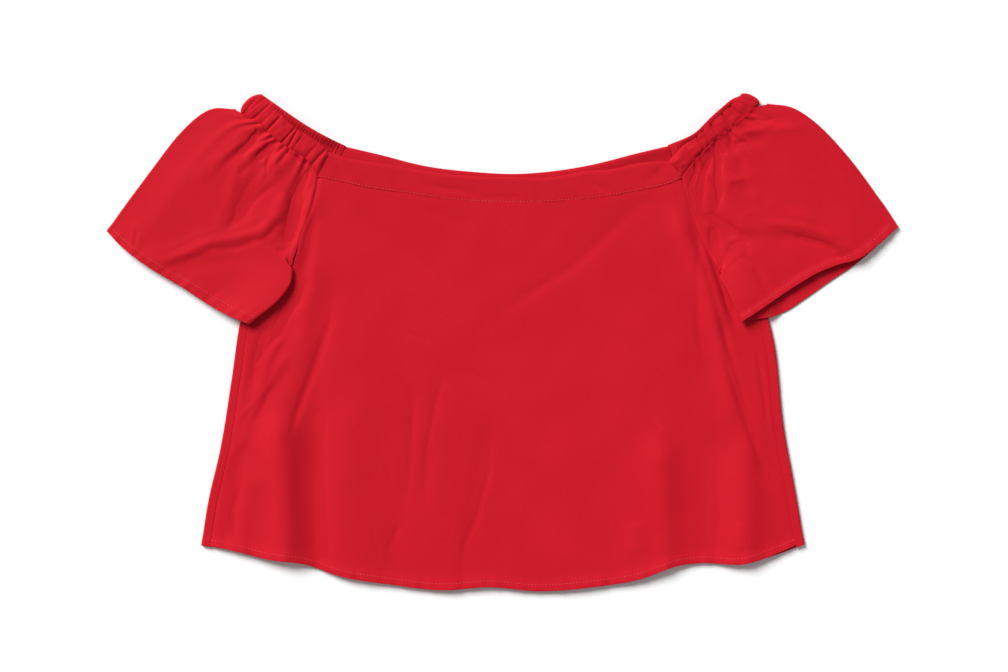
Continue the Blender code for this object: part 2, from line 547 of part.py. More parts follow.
def sleeve(side):
    """A sleeve as one cloth that goes round: from its back seam out to the outer fold, back
    over the top to the edge that shows, and under that edge to its front seam.
    u runs that way round, v from the casing to the cuff."""
    sections = side["sections"]
    outer, seam, back_seam, overhang = (along(sections, first) for first in (1, 3, 5, 7))

    def shown(v):
        return seam(v) + np.where((v > OVERHANG_START)[..., None], overhang(v), 0.0)

    corner = sections[0][1:3]
    front_head = gathered_seam(side["casing_front"], False, corner)
    back_head = gathered_seam(side["casing_back"], True, corner)
    upper = patch(outer, shown, front_head, curve(side["cuff_front"]))
    lower = patch(outer, back_seam, back_head, curve(side["cuff_back"]))

    def lower_mid(a, v, from_seam):
        """Middle height of the lower layer, a from the outer fold to the back seam."""
        middle = smooth((a - 0.02) / 0.1) * smooth((0.98 - a) / 0.1)
        wave = 0.5 + 0.5 * (1.0 + gathers(BACK_GATHERS, a, 1.3))
        gathered = np.exp(-v / GATHER_REACH) * middle * wave
        past_underarm = smooth((v - UNDERARM - 0.005) / 0.05)
        return FLOOR_MID + gathered + ON_SIDE_FOLD * past_underarm * (1.0 - smooth(from_seam / 11.0))

    def back_layer(u, v):
        start, finish = outer(v), back_seam(v)
        width = np.linalg.norm(finish - start, axis=-1)
        reach = SLEEVE_FOLD_RADIUS / width
        a = reach + (1.0 - reach) * np.clip(1.0 - u / BACK_TO, 0.0, 1.0)
        from_seam = (1.0 - a) * width
        beside = (SEAM_GAP + 0.2) * smooth(1.0 - from_seam / 12.0)
        plan = lower(v, a) + unit(start - finish) * beside[..., None]
        return plan, lower_mid(a, v, from_seam)

    def outer_fold(u, v):
        start = outer(v)
        from_a = SLEEVE_FOLD_RADIUS / np.linalg.norm(back_seam(v) - start, axis=-1)
        to_a = SLEEVE_FOLD_RADIUS / np.linalg.norm(shown(v) - start, axis=-1)
        from_foot, to_foot = lower(v, from_a), upper(v, to_a)
        angle = math.pi * np.clip((u - BACK_TO) / (FOLD_TO - BACK_TO), 0.0, 1.0)
        over = (0.5 - 0.5 * np.cos(angle))[..., None]
        run = outer(np.clip(v + NUDGE, 0, 1)) - outer(np.clip(v - NUDGE, 0, 1))
        heading = unit(np.stack([run[..., 1], -run[..., 0]], axis=-1) / NUDGE)
        inwards = np.sum(heading * (start - upper(v, np.full(u.shape, 0.3))), axis=-1) < 0
        heading = np.where(inwards[..., None], -heading, heading)
        reach = (SLEEVE_FOLD_RADIUS * np.sin(angle))[..., None]
        plan = from_foot + (to_foot - from_foot) * over + heading * reach
        return plan, FLOOR_MID + SLEEVE_FOLD_RADIUS * (1.0 - np.cos(angle))

    def front_layer(u, v):
        """The upper layer, and what turns under its edge where that hangs past the seam."""
        start, edge, joint = outer(v), shown(v), seam(v)
        past_seam = np.linalg.norm(edge - joint, axis=-1)
        raised, folded = smooth(past_seam / 2.5), smooth((past_seam - 2.0) / 4.0)
        lifted = smooth((v - OVERHANG_START - 0.05) / 0.35)
        radius = EDGE_RADIUS + EDGE_RADIUS_ADDED * lifted
        edge_panel = panel_mid(edge[..., 0], edge[..., 1])
        z_under = edge_panel + ON_PANEL + EDGE_RAISED * smooth((v - OVERHANG_START - 0.05) / 0.3)
        rise = smooth((v - OVERHANG_START + 0.13) / 0.11)
        z_seam = panel_mid(joint[..., 0], joint[..., 1]) + ON_PANEL * rise
        z_edge = (1.0 - raised) * z_seam + raised * (z_under + 2.0 * radius)

        width = np.linalg.norm(edge - start, axis=-1)
        inside_edge = 8.0 * (1.0 - folded) + radius * folded
        a_first, a_last = SLEEVE_FOLD_RADIUS / width, 1.0 - inside_edge / width
        a = a_first + (a_last - a_first) * np.clip((u - FOLD_TO) / (UPPER_TO - FOLD_TO), 0.0, 1.0)
        tail = np.clip((u - UPPER_TO) / (1.0 - UPPER_TO), 0.0, 1.0)
        a = np.where(u > UPPER_TO, a_last + (1.0 - SEAM_GAP / width - a_last) * tail, a)
        plan = upper(v, a)

        near_casing = np.exp(-v / GATHER_REACH)
        crown = SLEEVE_CROWN + 1.1 * near_casing - 0.25 * smooth((v - 0.8) / 0.2)
        rim = FLOOR_MID + 2.0 * SLEEVE_FOLD_RADIUS
        z = rim + (crown - rim) * smooth((a - a_first) / (0.2 - a_first))
        z = z + (z_edge - crown) * smooth((a - 0.7) / (a_last - 0.7))
        still = smooth((a - 0.02) / 0.1) * smooth((a_last - a) / 0.12)
        lift = folds(side["folds"], plan[..., 0], plan[..., 1])
        lift = lift + near_casing * gathers(FRONT_GATHERS, a, 0.4)
        z = z + between(-2.2, 2.0, lift) * still
        ceiling = lower_mid(a, v, (1.0 - a) * width) + WALL + SLEEVE_ROOM
        z = np.where(z > ceiling, z + (ceiling - z) * smooth((0.8 - a) / 0.1), z)

        centre = upper(v, a_last)
        heading = unit(edge - centre)
        bend = math.pi * np.clip((u - UPPER_TO) / (TURN_TO - UPPER_TO), 0.0, 1.0)
        turn_plan = centre + heading * (radius * np.sin(bend))[..., None]
        turn_z = z_edge - radius * (1.0 - np.cos(bend))
        share = np.clip((u - TURN_TO) / (1.0 - TURN_TO), 0.0, 1.0)
        under_plan = centre + (joint - centre) * share[..., None]
        under_panel = panel_mid(under_plan[..., 0], under_plan[..., 1])
        under_z = under_panel + ON_PANEL + (z_under - edge_panel - ON_PANEL) * (1 - smooth(share))
        past_turn = u > TURN_TO
        fold_plan = np.where(past_turn[..., None], under_plan, turn_plan)
        fold_z = np.where(past_turn, under_z, turn_z)
        is_tail = u > UPPER_TO
        turned = (folded * is_tail)[..., None]
        return plan + (fold_plan - plan) * turned, z + (fold_z - z) * raised * is_tail

    def at(u, v):
        back, fold, front = back_layer(u, v), outer_fold(u, v), front_layer(u, v)
        is_back, is_fold = u < BACK_TO, u <= FOLD_TO
        plan = np.where(is_back[..., None], back[0], np.where(is_fold[..., None], fold[0], front[0]))
        z = np.where(is_back, back[1], np.where(is_fold, fold[1], front[1]))
        return np.dstack([plan[..., 0], plan[..., 1], z])[0]
    return at


def cloth_material():
    """A material of its own for each piece: the same matt red crepe."""
    material = bpy.data.materials.new("red_crepe")
    material.use_nodes = True
    shader = material.node_tree.nodes["Principled BSDF"]
    shader.inputs["Base Color"].default_value = (*CLOTH_RED, 1.0)
    shader.inputs["Roughness"].default_value = CLOTH_ROUGHNESS
    shader.inputs["Metallic"].default_value = 0.0
    return material


def zipped(first, second, u_first, u_second):
    """Triangles between two rows of points that need not be equally many."""
    i, j, faces = 0, 0, []
    while i < len(first) - 1 or j < len(second) - 1:
        first_left = i < len(first) - 1
        if j == len(second) - 1 or (first_left and u_first[i + 1] <= u_second[j + 1]):
            faces.append((first[i], first[i + 1], second[j]))
            i += 1
        else:
            faces.append((first[i], second[j + 1], second[j]))
            j += 1
    return faces


def row_of_points(mesh, surface, thickness, u, v):
    """One row of mesh points on each side of a middle surface."""
    before_u, after_u = np.clip(u - NUDGE, 0, 1), np.clip(u + NUDGE, 0, 1)
    before_v, after_v = np.clip(v - NUDGE, 0, 1), np.clip(v + NUDGE, 0, 1)
    across = surface(after_u, v) - surface(before_u, v)
    down = surface(u, after_v) - surface(u, before_v)
    normal = unit(np.cross(across, down) / NUDGE**2)
    middle = surface(u, v)
    outer, inner = thickness(u, v)
    top = [mesh.verts.new(p * METRE) for p in middle - normal * outer[..., None]]
    bottom = [mesh.verts.new(p * METRE) for p in middle + normal * inner[..., None]]
    return top, bottom


def wall(name, surface, rows, thickness):
    """One closed cloth wall about a middle surface. Each row is a v and the u of its points."""
    mesh = bmesh.new()
    tops, bottoms, places = [], [], []
    for v_row, u_row in rows:
        u = np.asarray(u_row, float)
        top, bottom = row_of_points(mesh, surface, thickness, u, np.full_like(u, v_row))
        tops.append(top)
        bottoms.append(bottom)
        places.append(u)
    for k in range(len(rows) - 1):
        for face in zipped(tops[k], tops[k + 1], places[k], places[k + 1]):
            mesh.faces.new(face)
        for face in zipped(bottoms[k], bottoms[k + 1], places[k], places[k + 1]):
            mesh.faces.new(face[::-1])
        for end in (0, -1):
            mesh.faces.new((tops[k][end], tops[k + 1][end], bottoms[k + 1][end], bottoms[k][end]))
    for k in (0, -1):
        for i in range(len(places[k]) - 1):
            mesh.faces.new((tops[k][i], tops[k][i + 1], bottoms[k][i + 1], bottoms[k][i]))
    bmesh.ops.triangulate(mesh, faces=mesh.faces[:])
    bmesh.ops.recalc_face_normals(mesh, faces=mesh.faces[:])
    data = bpy.data.meshes.new(name)
    mesh.to_mesh(data)
    mesh.free()
    data.shade_smooth()
    data.set_sharp_from_angle(angle=math.radians(50))
    data.materials.append(cloth_material())
    bpy.context.scene.collection.objects.link(bpy.data.objects.new(name, data))


def even(thick):
    """A wall of the same thickness everywhere."""
    return lambda u, v: (np.full_like(u, thick / 2), np.full_like(u, thick / 2))


def columns(*runs):
    """Points along a row: each run is start, stop and number of steps."""
    found = []
    for start, stop, count in runs:
        found += list(np.linspace(start, stop, count, endpoint=False))
    return found + [runs[-1][1]]


def both_ends(*runs):
    """Runs up to the middle of a row, and the same ones mirrored past it."""
    return columns(*runs, *[(1.0 - stop, 1.0 - start, count) for start, stop, count in reversed(runs)])


def build():
    for thing in list(bpy.data.objects):
        bpy.data.objects.remove(thing, do_unlink=True)

    armhole_rows = [v * ARMHOLE_SHARE / UNDERARM for v in SLEEVE_ROWS if v < UNDERARM]
    side_rows = columns((ARMHOLE_SHARE, 0.42, 5), (0.42, 1.0, 8))

    upper_columns = both_ends((0.0, 0.04, 1), (0.04, 0.5, 8))
    lower_columns = both_ends((0.0, 0.04, 1), (0.04, 0.27, 12), (0.27, 0.5, 5))
    rows = [(v, upper_columns) for v in armhole_rows] + [(v, lower_columns) for v in side_rows]
    wall("front_panel", front_panel(), rows, even(WALL))

    neck_columns = both_ends((0.0, EDGE_SHARE, 4), (EDGE_SHARE, 0.5, 8))
    flat_columns = both_ends((0.0, EDGE_SHARE, 2), (EDGE_SHARE, 0.5, 3))
    wrap_columns = both_ends((0.0, 0.07, 1), (0.07, 0.16, 4), (0.16, EDGE_SHARE, 1), (EDGE_SHARE, 0.5, 4))
    rows = [(0.0, neck_columns)] + [(v, flat_columns) for v in armhole_rows[1:]]
    rows += [(v, wrap_columns) for v in side_rows]
    wall("back_panel", back_panel(), rows, even(WALL))

    rows = [(v, columns((0.0, 1.0, 32))) for v in (0.0, 0.12, 0.5, 0.88, 1.0)]
    wall("neck_band_front", neck_band_front(), rows, even(BAND_WALL))
    rows = [(v, columns((0.0, 1.0, 24))) for v in (0.0, 0.5, 1.0)]
    wall("neck_band_back", neck_band_back(), rows, even(BAND_WALL))

    along_casing = columns(
        (0.0, CASING_TURN[0], 4 * FRONT_PLEATS), (*CASING_TURN, 5), (CASING_TURN[1], 1.0, 2 * BACK_PLEATS)
    )
    fine = columns(
        (0.0, BACK_TO, 2 * BACK_GATHERS), (BACK_TO, FOLD_TO, 4), (FOLD_TO, UPPER_TO, 3 * FRONT_GATHERS),
        (UPPER_TO, 1.0, 6),
    )
    coarse = columns(
        (0.0, BACK_TO, 6), (BACK_TO, FOLD_TO, 4), (FOLD_TO, UPPER_TO, 17), (UPPER_TO, TURN_TO, 4),
        (TURN_TO, 1.0, 2),
    )
    for name, side in SIDES.items():
        surface, thickness = casing(side["casing_front"], side["casing_back"], side["bulge"])
        rows = [(v, along_casing) for v in (0.0, 0.15, 0.85, 1.0)]
        wall(f"sleeve_casing_{name}", surface, rows, thickness)
        rows = [(v, fine if v < GATHERED_TO else coarse) for v in SLEEVE_ROWS]
        wall(f"sleeve_{name}", sleeve(side), rows, even(WALL))


build()
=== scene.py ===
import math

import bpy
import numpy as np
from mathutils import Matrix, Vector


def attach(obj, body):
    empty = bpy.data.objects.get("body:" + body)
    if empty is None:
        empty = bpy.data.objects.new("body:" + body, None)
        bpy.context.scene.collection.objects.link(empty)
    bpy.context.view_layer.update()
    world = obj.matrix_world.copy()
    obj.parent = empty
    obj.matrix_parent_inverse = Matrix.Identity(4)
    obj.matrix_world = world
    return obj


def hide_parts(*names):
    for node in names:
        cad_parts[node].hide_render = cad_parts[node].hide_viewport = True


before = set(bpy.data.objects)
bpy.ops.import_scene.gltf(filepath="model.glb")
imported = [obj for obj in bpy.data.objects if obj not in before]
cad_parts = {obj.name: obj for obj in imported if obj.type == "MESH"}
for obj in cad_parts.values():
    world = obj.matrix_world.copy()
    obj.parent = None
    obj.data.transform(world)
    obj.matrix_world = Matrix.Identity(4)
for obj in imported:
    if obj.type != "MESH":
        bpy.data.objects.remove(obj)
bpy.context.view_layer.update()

# Looks of an off-shoulder top in red viscose crepe, laid flat on its back.
# The pattern pieces keep the frame's plan and heights. Here they become thin cloth with turned
# hems, stitched edges, gathers, pleats and creases. Sizes are in millimetres until a mesh is
# made: +X to the right, +Y to the neck, +Z up from the surface that the top lies on.

METRE = 0.001
NUDGE = 1e-4

# Cloth thickness, and the distance between points on a side that shows and on a lining side
CREPE = 0.7
BAND_CREPE = 1.1
CASING_CREPE = 2.2
SHOWN_STEP = 1.7
HIDDEN_STEP = 7.0
EDGE_STEP = 0.22
LOWEST = 0.02

# How far the neck bands reach under the casings that they are sewn to
BAND_TUCK = 1.2
BACK_BAND_TUCK = 0.0

# Walls, and the room between pieces
WALL = 1.2
BAND_WALL = 2.0
CASING_WALL = 2.4
SEAM_GAP = -0.15
LAY_GAP = 0.45

# Heights of the middle of a wall above the surface
FLOOR_MID = WALL / 2
PANEL_LOWEST = 2.15
PANEL_HIGHEST = 5.6
SIDE_MID = 2.7
UNDERARM_MID = 2.45
EDGE_MID_AT = (-180.0, 20.0, 45.0, 85.0, 140.0)
EDGE_MIDS = (SIDE_MID, SIDE_MID, UNDERARM_MID, 2.7, 4.1)

# The folded side edge of the body: how far the back panel comes round to the front
SIDE_WRAP = 7.0
WRAP_START = 9.0
WRAP_FULL = 20.0
FLAT_FROM = 3.2
BACK_HEM_UP = -0.5
EDGE_SHARE = 0.2

# Outline of the body, in plan. x, y
NECK_SEAM = (
    (-164.7, 148.5), (-149.0, 145.3), (-128.3, 140.4), (-83.3, 133.6), (-42.8, 127.8),
    (-2.3, 125.5), (38.3, 126.0), (78.8, 129.2), (124.7, 136.8), (149.0, 142.6), (159.8, 147.6),
)
HEM = (
    (-270.9, -183.6), (-243.5, -188.1), (-211.1, -195.3), (-178.7, -199.8), (-146.3, -210.6),
    (-103.1, -217.8), (-54.5, -223.2), (-11.3, -220.5), (32.0, -224.1), (80.6, -220.5),
    (123.8, -213.3), (156.2, -201.6), (177.8, -198.9), (215.6, -199.8), (242.6, -193.5),
    (271.4, -182.7),
)
SIDE_LEFT = (
    (-229.6, 44.6), (-236.3, 18.0), (-243.5, -30.6), (-254.3, -98.1), (-265.1, -145.8),
    (-270.9, -183.6),
)
SIDE_RIGHT = (
    (233.9, 44.6), (240.1, 19.8), (243.7, 4.5), (253.4, -78.3), (264.2, -138.6), (271.4, -182.7),
)
UNDERARM_Y = 44.6
ARMHOLE_SHARE = 0.32

# Top edges of the neck band, in plan. x, y
BAND_TOP_FRONT = (
    (-155.3, 171.0), (-139.1, 165.2), (-124.2, 162.4), (-103.1, 159.3), (-63.5, 152.5),
    (-23.9, 148.5), (12.2, 147.9), (39.2, 147.2), (78.8, 153.9), (98.6, 155.1), (118.4, 159.8),
    (131.9, 161.7), (149.9, 162.4),
)
BAND_TOP_BACK = (
    (-140.9, 175.5), (-110.3, 168.3), (-70.7, 158.4), (-27.5, 153.0), (15.8, 151.2),
    (48.2, 153.9), (80.6, 159.3), (123.8, 170.1), (149.0, 176.0),
)
BAND_BOTTOM_BACK = (
    (-150.3, 157.3), (-112.0, 148.2), (-70.7, 138.4), (-27.5, 133.0), (15.8, 131.2),
    (48.2, 133.9), (80.6, 139.3), (123.8, 150.1), (155.6, 158.9),
)

# Folds of the front panel, as soft ridges (lift over 0) and troughs.
# x and y of one end, x and y of the other, half width, lift
PANEL_FOLDS = (
    (-156.0, 36.0, -173.0, -39.0, 11.0, -1.0),
    (-173.0, -39.0, -190.0, -86.0, 11.0, -0.9),
    (-178.0, -70.0, -178.0, -205.0, 13.0, -1.7),
    (-212.0, -110.0, -214.0, -198.0, 16.0, 1.3),
    (-142.0, -90.0, -138.0, -212.0, 18.0, 1.5),
    (-190.0, 12.0, -226.0, -38.0, 7.0, -0.9),
    (-203.0, -36.0, -227.0, -78.0, 7.0, -0.8),
    (-199.0, -20.0, -236.0, -92.0, 6.0, 0.9),
    (-236.0, -100.0, -243.0, -170.0, 6.0, -0.7),
    (194.0, 28.0, 217.0, -49.0, 9.0, -0.9),
    (217.0, -49.0, 234.0, -112.0, 9.0, -0.8),
    (176.0, 92.0, 182.0, -20.0, 10.0, -0.8),
    (203.0, 0.0, 222.0, -92.0, 10.0, 0.8),
    (168.0, -112.0, 169.0, -200.0, 20.0, -1.5),
    (122.0, -140.0, 122.0, -212.0, 18.0, 1.2),
    (214.0, -130.0, 214.0, -198.0, 16.0, 1.3),
    (-81.0, -52.0, -86.0, -135.0, 6.0, -0.45),
    (-57.0, -40.0, -70.0, -135.0, 7.0, -0.5),
    (-12.0, -84.0, -36.0, -212.0, 8.0, -0.6),
    (-94.0, -164.0, -104.0, -212.0, 8.0, -0.5),
    (-124.0, 112.0, -54.0, 53.0, 8.0, -0.4),
    (128.0, 127.0, 0.0, 28.0, 10.0, -0.5),
    (-39.0, -23.0, -12.0, -37.0, 8.0, -0.4),
)

# Folds that lie across the neck band
BAND_FOLDS = (
    (-150.0, 160.0, -142.0, 150.0, 5.0, -0.4),
    (-65.0, 141.0, -29.0, 134.0, 5.0, -0.35),
    (79.0, 144.0, 92.0, 136.0, 5.0, -0.35),
    (137.0, 150.0, 147.0, 160.0, 5.0, -0.4),
)

# Sleeve sections from the casing to the cuff, in plan: how far along, then x and y of the
# outer fold, of the front seam and of the back seam, and how far the folded edge hangs
# over the body past the front seam, in x and y. Past the underarm the two seams are one.
SLEEVE_LEFT = (
    (0.00, -240.5, 208.5, -165.8, 148.4, -150.9, 156.8, 0.0, 0.0),
    (0.20, -265.0, 207.9, -171.0, 122.4, -158.0, 127.0, 0.0, 0.0),
    (0.40, -292.0, 185.4, -181.5, 95.4, -173.0, 97.0, 0.0, 0.0),
    (0.55, -315.4, 155.2, -188.5, 75.6, -186.0, 76.0, 0.0, 0.0),
    (0.66, -326.0, 141.1, -194.5, 67.5, -194.5, 67.5, 5.5, -4.5),
    (0.76, -336.5, 127.1, -209.0, 55.6, -209.0, 55.6, 18.0, -4.0),
    (0.87, -346.0, 114.0, -229.6, 44.6, -229.6, 44.6, 27.0, -8.6),
    (1.00, -356.0, 99.9, -235.4, 24.0, -236.4, 24.0, 7.2, -7.8),
)
SLEEVE_RIGHT = (
    (0.00, 238.5, 213.5, 160.8, 147.8, 156.6, 158.6, 0.0, 0.0),
    (0.20, 263.0, 209.4, 174.0, 106.5, 170.0, 112.0, 0.0, 0.0),
    (0.40, 290.0, 189.6, 184.5, 84.0, 181.0, 88.0, 0.0, 0.0),
    (0.55, 312.0, 165.2, 193.6, 67.5, 192.6, 68.5, 0.0, 0.0),
    (0.66, 325.0, 148.4, 201.0, 61.5, 201.0, 61.5, -5.0, -4.5),
    (0.76, 336.0, 133.2, 213.4, 54.2, 213.4, 54.2, -10.5, -9.7),
    (0.87, 346.0, 119.4, 233.9, 44.6, 233.9, 44.6, -25.0, -13.0),
    (1.00, 356.0, 103.5, 240.2, 22.0, 241.2, 22.0, -25.4, -3.5),
)

# Cuffs, in plan from the outer fold inwards. x, y
CUFF_FRONT_LEFT = (
    (-356.0, 99.9), (-344.0, 87.2), (-329.9, 75.6), (-308.3, 61.2), (-286.7, 48.6),
    (-265.1, 34.2), (-243.5, 22.5), (-228.2, 16.2),
)
CUFF_BACK_LEFT = (
    (-356.0, 99.9), (-343.0, 88.6), (-328.5, 77.5), (-307.0, 63.2), (-285.5, 50.6),
    (-264.0, 36.4), (-246.0, 27.5), (-236.4, 24.0),
)
CUFF_FRONT_RIGHT = (
    (356.0, 103.5), (340.0, 89.5), (320.0, 75.0), (300.0, 69.0), (283.0, 62.1),
    (268.0, 53.5), (252.4, 43.2), (236.0, 32.0), (214.8, 18.5),
)
CUFF_BACK_RIGHT = (
    (356.0, 103.5), (339.8, 88.6), (318.2, 70.2), (296.6, 55.8), (272.0, 38.5),
    (256.0, 28.0), (241.2, 22.0),
)

# Folds of each sleeve's upper layer
SLEEVE_FOLDS_LEFT = (
    (-218.0, 186.0, -243.0, 165.0, 6.0, -1.1),
    (-205.0, 179.0, -219.0, 160.0, 6.0, -1.2),
    (-174.0, 156.0, -187.0, 130.0, 6.0, -1.2),
    (-187.0, 130.0, -185.0, 110.0, 7.0, -0.9),
    (-232.0, 182.0, -264.0, 156.0, 7.0, 0.8),
    (-236.0, 158.0, -250.0, 112.0, 8.0, 0.7),
    (-202.0, 144.0, -250.0, 99.0, 7.0, -0.6),
    (-198.0, 120.0, -216.0, 101.0, 8.0, 1.2),
    (-216.0, 101.0, -263.0, 90.0, 9.0, 1.3),
    (-263.0, 90.0, -314.0, 74.0, 8.0, 1.0),
    (-250.0, 74.0, -290.0, 68.0, 10.0, -0.7),
    (-329.0, 102.0, -331.0, 83.0, 5.0, 0.5),
)
SLEEVE_FOLDS_RIGHT = (
    (175.0, 162.0, 169.0, 139.0, 5.0, -1.0),
    (185.0, 166.0, 177.0, 117.0, 6.0, -1.3),
    (193.0, 174.0, 193.0, 123.0, 7.0, -1.3),
    (205.0, 192.0, 206.0, 175.0, 5.0, -0.9),
    (223.0, 199.0, 247.0, 200.0, 5.0, -0.9),
    (207.0, 176.0, 229.0, 181.0, 5.0, -0.8),
    (243.0, 192.0, 270.0, 192.0, 7.0, 0.6),
    (202.0, 145.0, 218.0, 147.0, 6.0, 0.5),
    (189.0, 101.0, 192.0, 74.0, 8.0, -0.9),
    (227.0, 108.0, 272.0, 103.0, 8.0, 1.4),
    (272.0, 103.0, 308.0, 86.0, 8.0, 1.2),
    (259.0, 96.0, 304.0, 79.0, 8.0, -1.0),
    (196.0, 105.0, 221.0, 94.0, 7.0, -0.9),
    (202.0, 90.0, 245.0, 45.0, 8.0, -0.8),
)

# Elastic casings: x and y of the upper and of the lower edge, from the band to the shoulder
# fold along the front, then from the fold to the band along the back.
CASING_FRONT_LEFT = (
    (-155.9, 171.2, -165.4, 149.2), (-161.6, 175.8, -172.6, 160.2), (-176.0, 185.8, -182.4, 168.8),
    (-184.1, 189.9, -192.8, 174.4), (-192.1, 197.1, -203.3, 181.2), (-199.8, 205.2, -211.8, 189.4),
    (-207.5, 213.3, -223.4, 199.2), (-215.6, 221.4, -234.6, 206.0),
)
CASING_BACK_LEFT = (
    (-215.6, 221.4, -234.6, 206.0), (-198.5, 208.8, -210.0, 192.6), (-175.1, 193.1, -186.0, 177.0),
    (-158.3, 183.6, -168.0, 167.0), (-141.8, 175.9, -151.0, 157.7),
)
CASING_FRONT_RIGHT = (
    (150.4, 162.8, 160.4, 148.6), (167.9, 181.2, 176.5, 167.5), (177.8, 191.1, 187.0, 178.0),
    (189.0, 202.6, 198.5, 187.2), (199.0, 211.4, 208.5, 195.6), (207.3, 218.2, 220.0, 204.0),
    (214.6, 221.8, 230.6, 214.4),
)
CASING_BACK_RIGHT = (
    (214.6, 221.8, 230.6, 214.4), (203.0, 214.5, 214.0, 196.0), (189.0, 202.0, 196.0, 178.5),
    (171.0, 185.8, 178.0, 167.0), (149.8, 176.8, 156.4, 159.4),
)
CASING_TURN = (0.47, 0.53)
CASING_END_MID = 4.75
CASING_RISE = 1.6
BULGE_FROM = 0.82
FRONT_PLEATS = 13
BACK_PLEATS = 18
PLEAT_DEPTH = 0.55
BACK_PLEAT_DEPTH = 0.385

# A row of points round a sleeve, as shares of it: up to where its back layer, its outer fold,
# its upper layer and the turn at the edge that shows go
BACK_TO = 0.36
FOLD_TO = 0.42
UPPER_TO = 0.80
TURN_TO = 0.90

# Shares of a sleeve's length, from its casing to its cuff
UNDERARM = 0.87
OVERHANG_START = 0.55
GATHER_REACH = 0.13
GATHERED_TO = 0.16

# Heights and folds of a sleeve
FRONT_GATHERS = 12
BACK_GATHERS = 9
SLEEVE_FOLD_RADIUS = 1.05
SLEEVE_CROWN = 5.15
SLEEVE_ROOM = 3.85
EDGE_RADIUS = 0.85
EDGE_RADIUS_ADDED = 0.75
EDGE_RAISED = 2.0
ON_PANEL = WALL + LAY_GAP
ON_SIDE_FOLD = 3.35
CASING_GAP = -1.2

# Rows of points down a sleeve
SLEEVE_ROWS = (
    0.0, 0.04, 0.09, 0.15, 0.22, 0.30, 0.38, 0.46, 0.53, 0.58, 0.64, 0.70, 0.76, 0.82, 0.87,
    0.90, 0.94, 1.0,
)

# The two sides, with how far the shoulder fold of the casing bulges
SIDES = {
    "left": {
        "casing_front": CASING_FRONT_LEFT, "casing_back": CASING_BACK_LEFT, "bulge": 3.6,
        "sections": SLEEVE_LEFT, "cuff_front": CUFF_FRONT_LEFT, "cuff_back": CUFF_BACK_LEFT,
        "folds": SLEEVE_FOLDS_LEFT,
    },
    "right": {
        "casing_front": CASING_FRONT_RIGHT, "casing_back": CASING_BACK_RIGHT, "bulge": 1.6,
        "sections": SLEEVE_RIGHT, "cuff_front": CUFF_FRONT_RIGHT, "cuff_back": CUFF_BACK_RIGHT,
        "folds": SLEEVE_FOLDS_RIGHT,
    },
}

# Sharper creases of the front panel: half width, lift, then the points that one runs through
BODY_CREASES = (
    (3.2, -0.55, ((-156, 38), (-155, 19), (-164, -12), (-174, -39), (-185, -66), (-191, -85))),
    (2.6, -0.45, ((-189, 13), (-205, 2), (-222, -18), (-227, -39))),
    (2.4, -0.4, ((-205, -35), (-216, -58), (-227, -77))),
    (2.2, 0.3, ((-241, -72), (-218, -49), (-205, -33))),
    (2.6, -0.35, ((-235, -127), (-243, -154), (-241, -177))),
    (2.0, -0.3, ((-252, -172), (-247, -183))),
    (3.0, -0.45, ((194, 28), (205, -10), (216, -49), (226, -81), (234, -112))),
    (3.0, -0.35, ((176, 92), (175, 58), (176, 14), (182, -20))),
    (2.0, -0.25, ((-81, -52), (-81, -77), (-85, -135))),
    (2.2, -0.3, ((-53, -32), (-61, -58), (-68, -96), (-70, -135))),
    (2.0, -0.2, ((-114, -89), (-105, -112), (-97, -131))),
    (2.4, -0.3, ((-12, -85), (-12, -116), (-22, -154), (-34, -183), (-37, -212))),
    (2.2, -0.25, ((-93, -164), (-103, -189))),
    (2.2, -0.25, ((-118, -171), (-110, -193))),
    (2.6, -0.2, ((-90, 11), (-64, -1))),
    (2.6, -0.2, ((-39, -23), (-12, -37))),
    (5.0, -0.3, ((-124, 112), (-54, 53))),
    (5.0, -0.25, ((-74, 120), (-20, 103))),
    (5.0, -0.35, ((128, 127), (64, 68), (0, 28))),
    (9.0, 0.5, ((122, -193), (120, -160))),
    (9.0, 0.5, ((214, -191), (216, -160))),
    (3.5, -1.7, ((179.6, 104.4), (186.8, 86.4), (192.2, 64.8), (202.1, 37.8), (209.2, 15.3))),
    (4.0, -1.5, ((168.8, 114.3), (178.7, 82.8), (188.6, 51.3), (199.3, 10.8), (205.7, -20.7))),
    (4.5, 1.3, ((175.1, 96.3), (183.2, 72.0), (193.1, 42.3), (203.8, 6.3))),
    (4.5, -1.0, ((-185.0, 69.3), (-191.2, 42.3), (-197.6, 19.8), (-209.2, -2.7))),
    (4.0, -0.8, ((-209.2, 15.3), (-216.5, 1.8), (-225.5, -23.4))),
    (5.0, 0.8, ((-195.8, 10.8), (-207.5, -9.0), (-216.5, -34.2), (-223.7, -56.7))),
    (6.5, -1.6, ((-167.8, 123.3), (-175.1, 96.3), (-177.8, 72.0), (-178.7, 54.0), (-185.0, 37.8), (-197.6, 18.0))),
    (2.4, -0.6, ((197.6, -9.0), (218.2, -70.2), (233.6, -115.2))),
    (2.2, -0.5, ((229.1, -7.2), (236.2, -52.2), (239.0, -79.2))),
    (3.0, -0.5, ((-158.0, 18.0), (-166.1, -9.0), (-176.8, -38.7), (-185.0, -61.2), (-190.3, -81.0))),

    (9.0, 2.4, ((149.0, 131.4), (162.5, 99.0), (177.8, 63.0), (190.3, 27.0), (197.6, -2.7))),
)

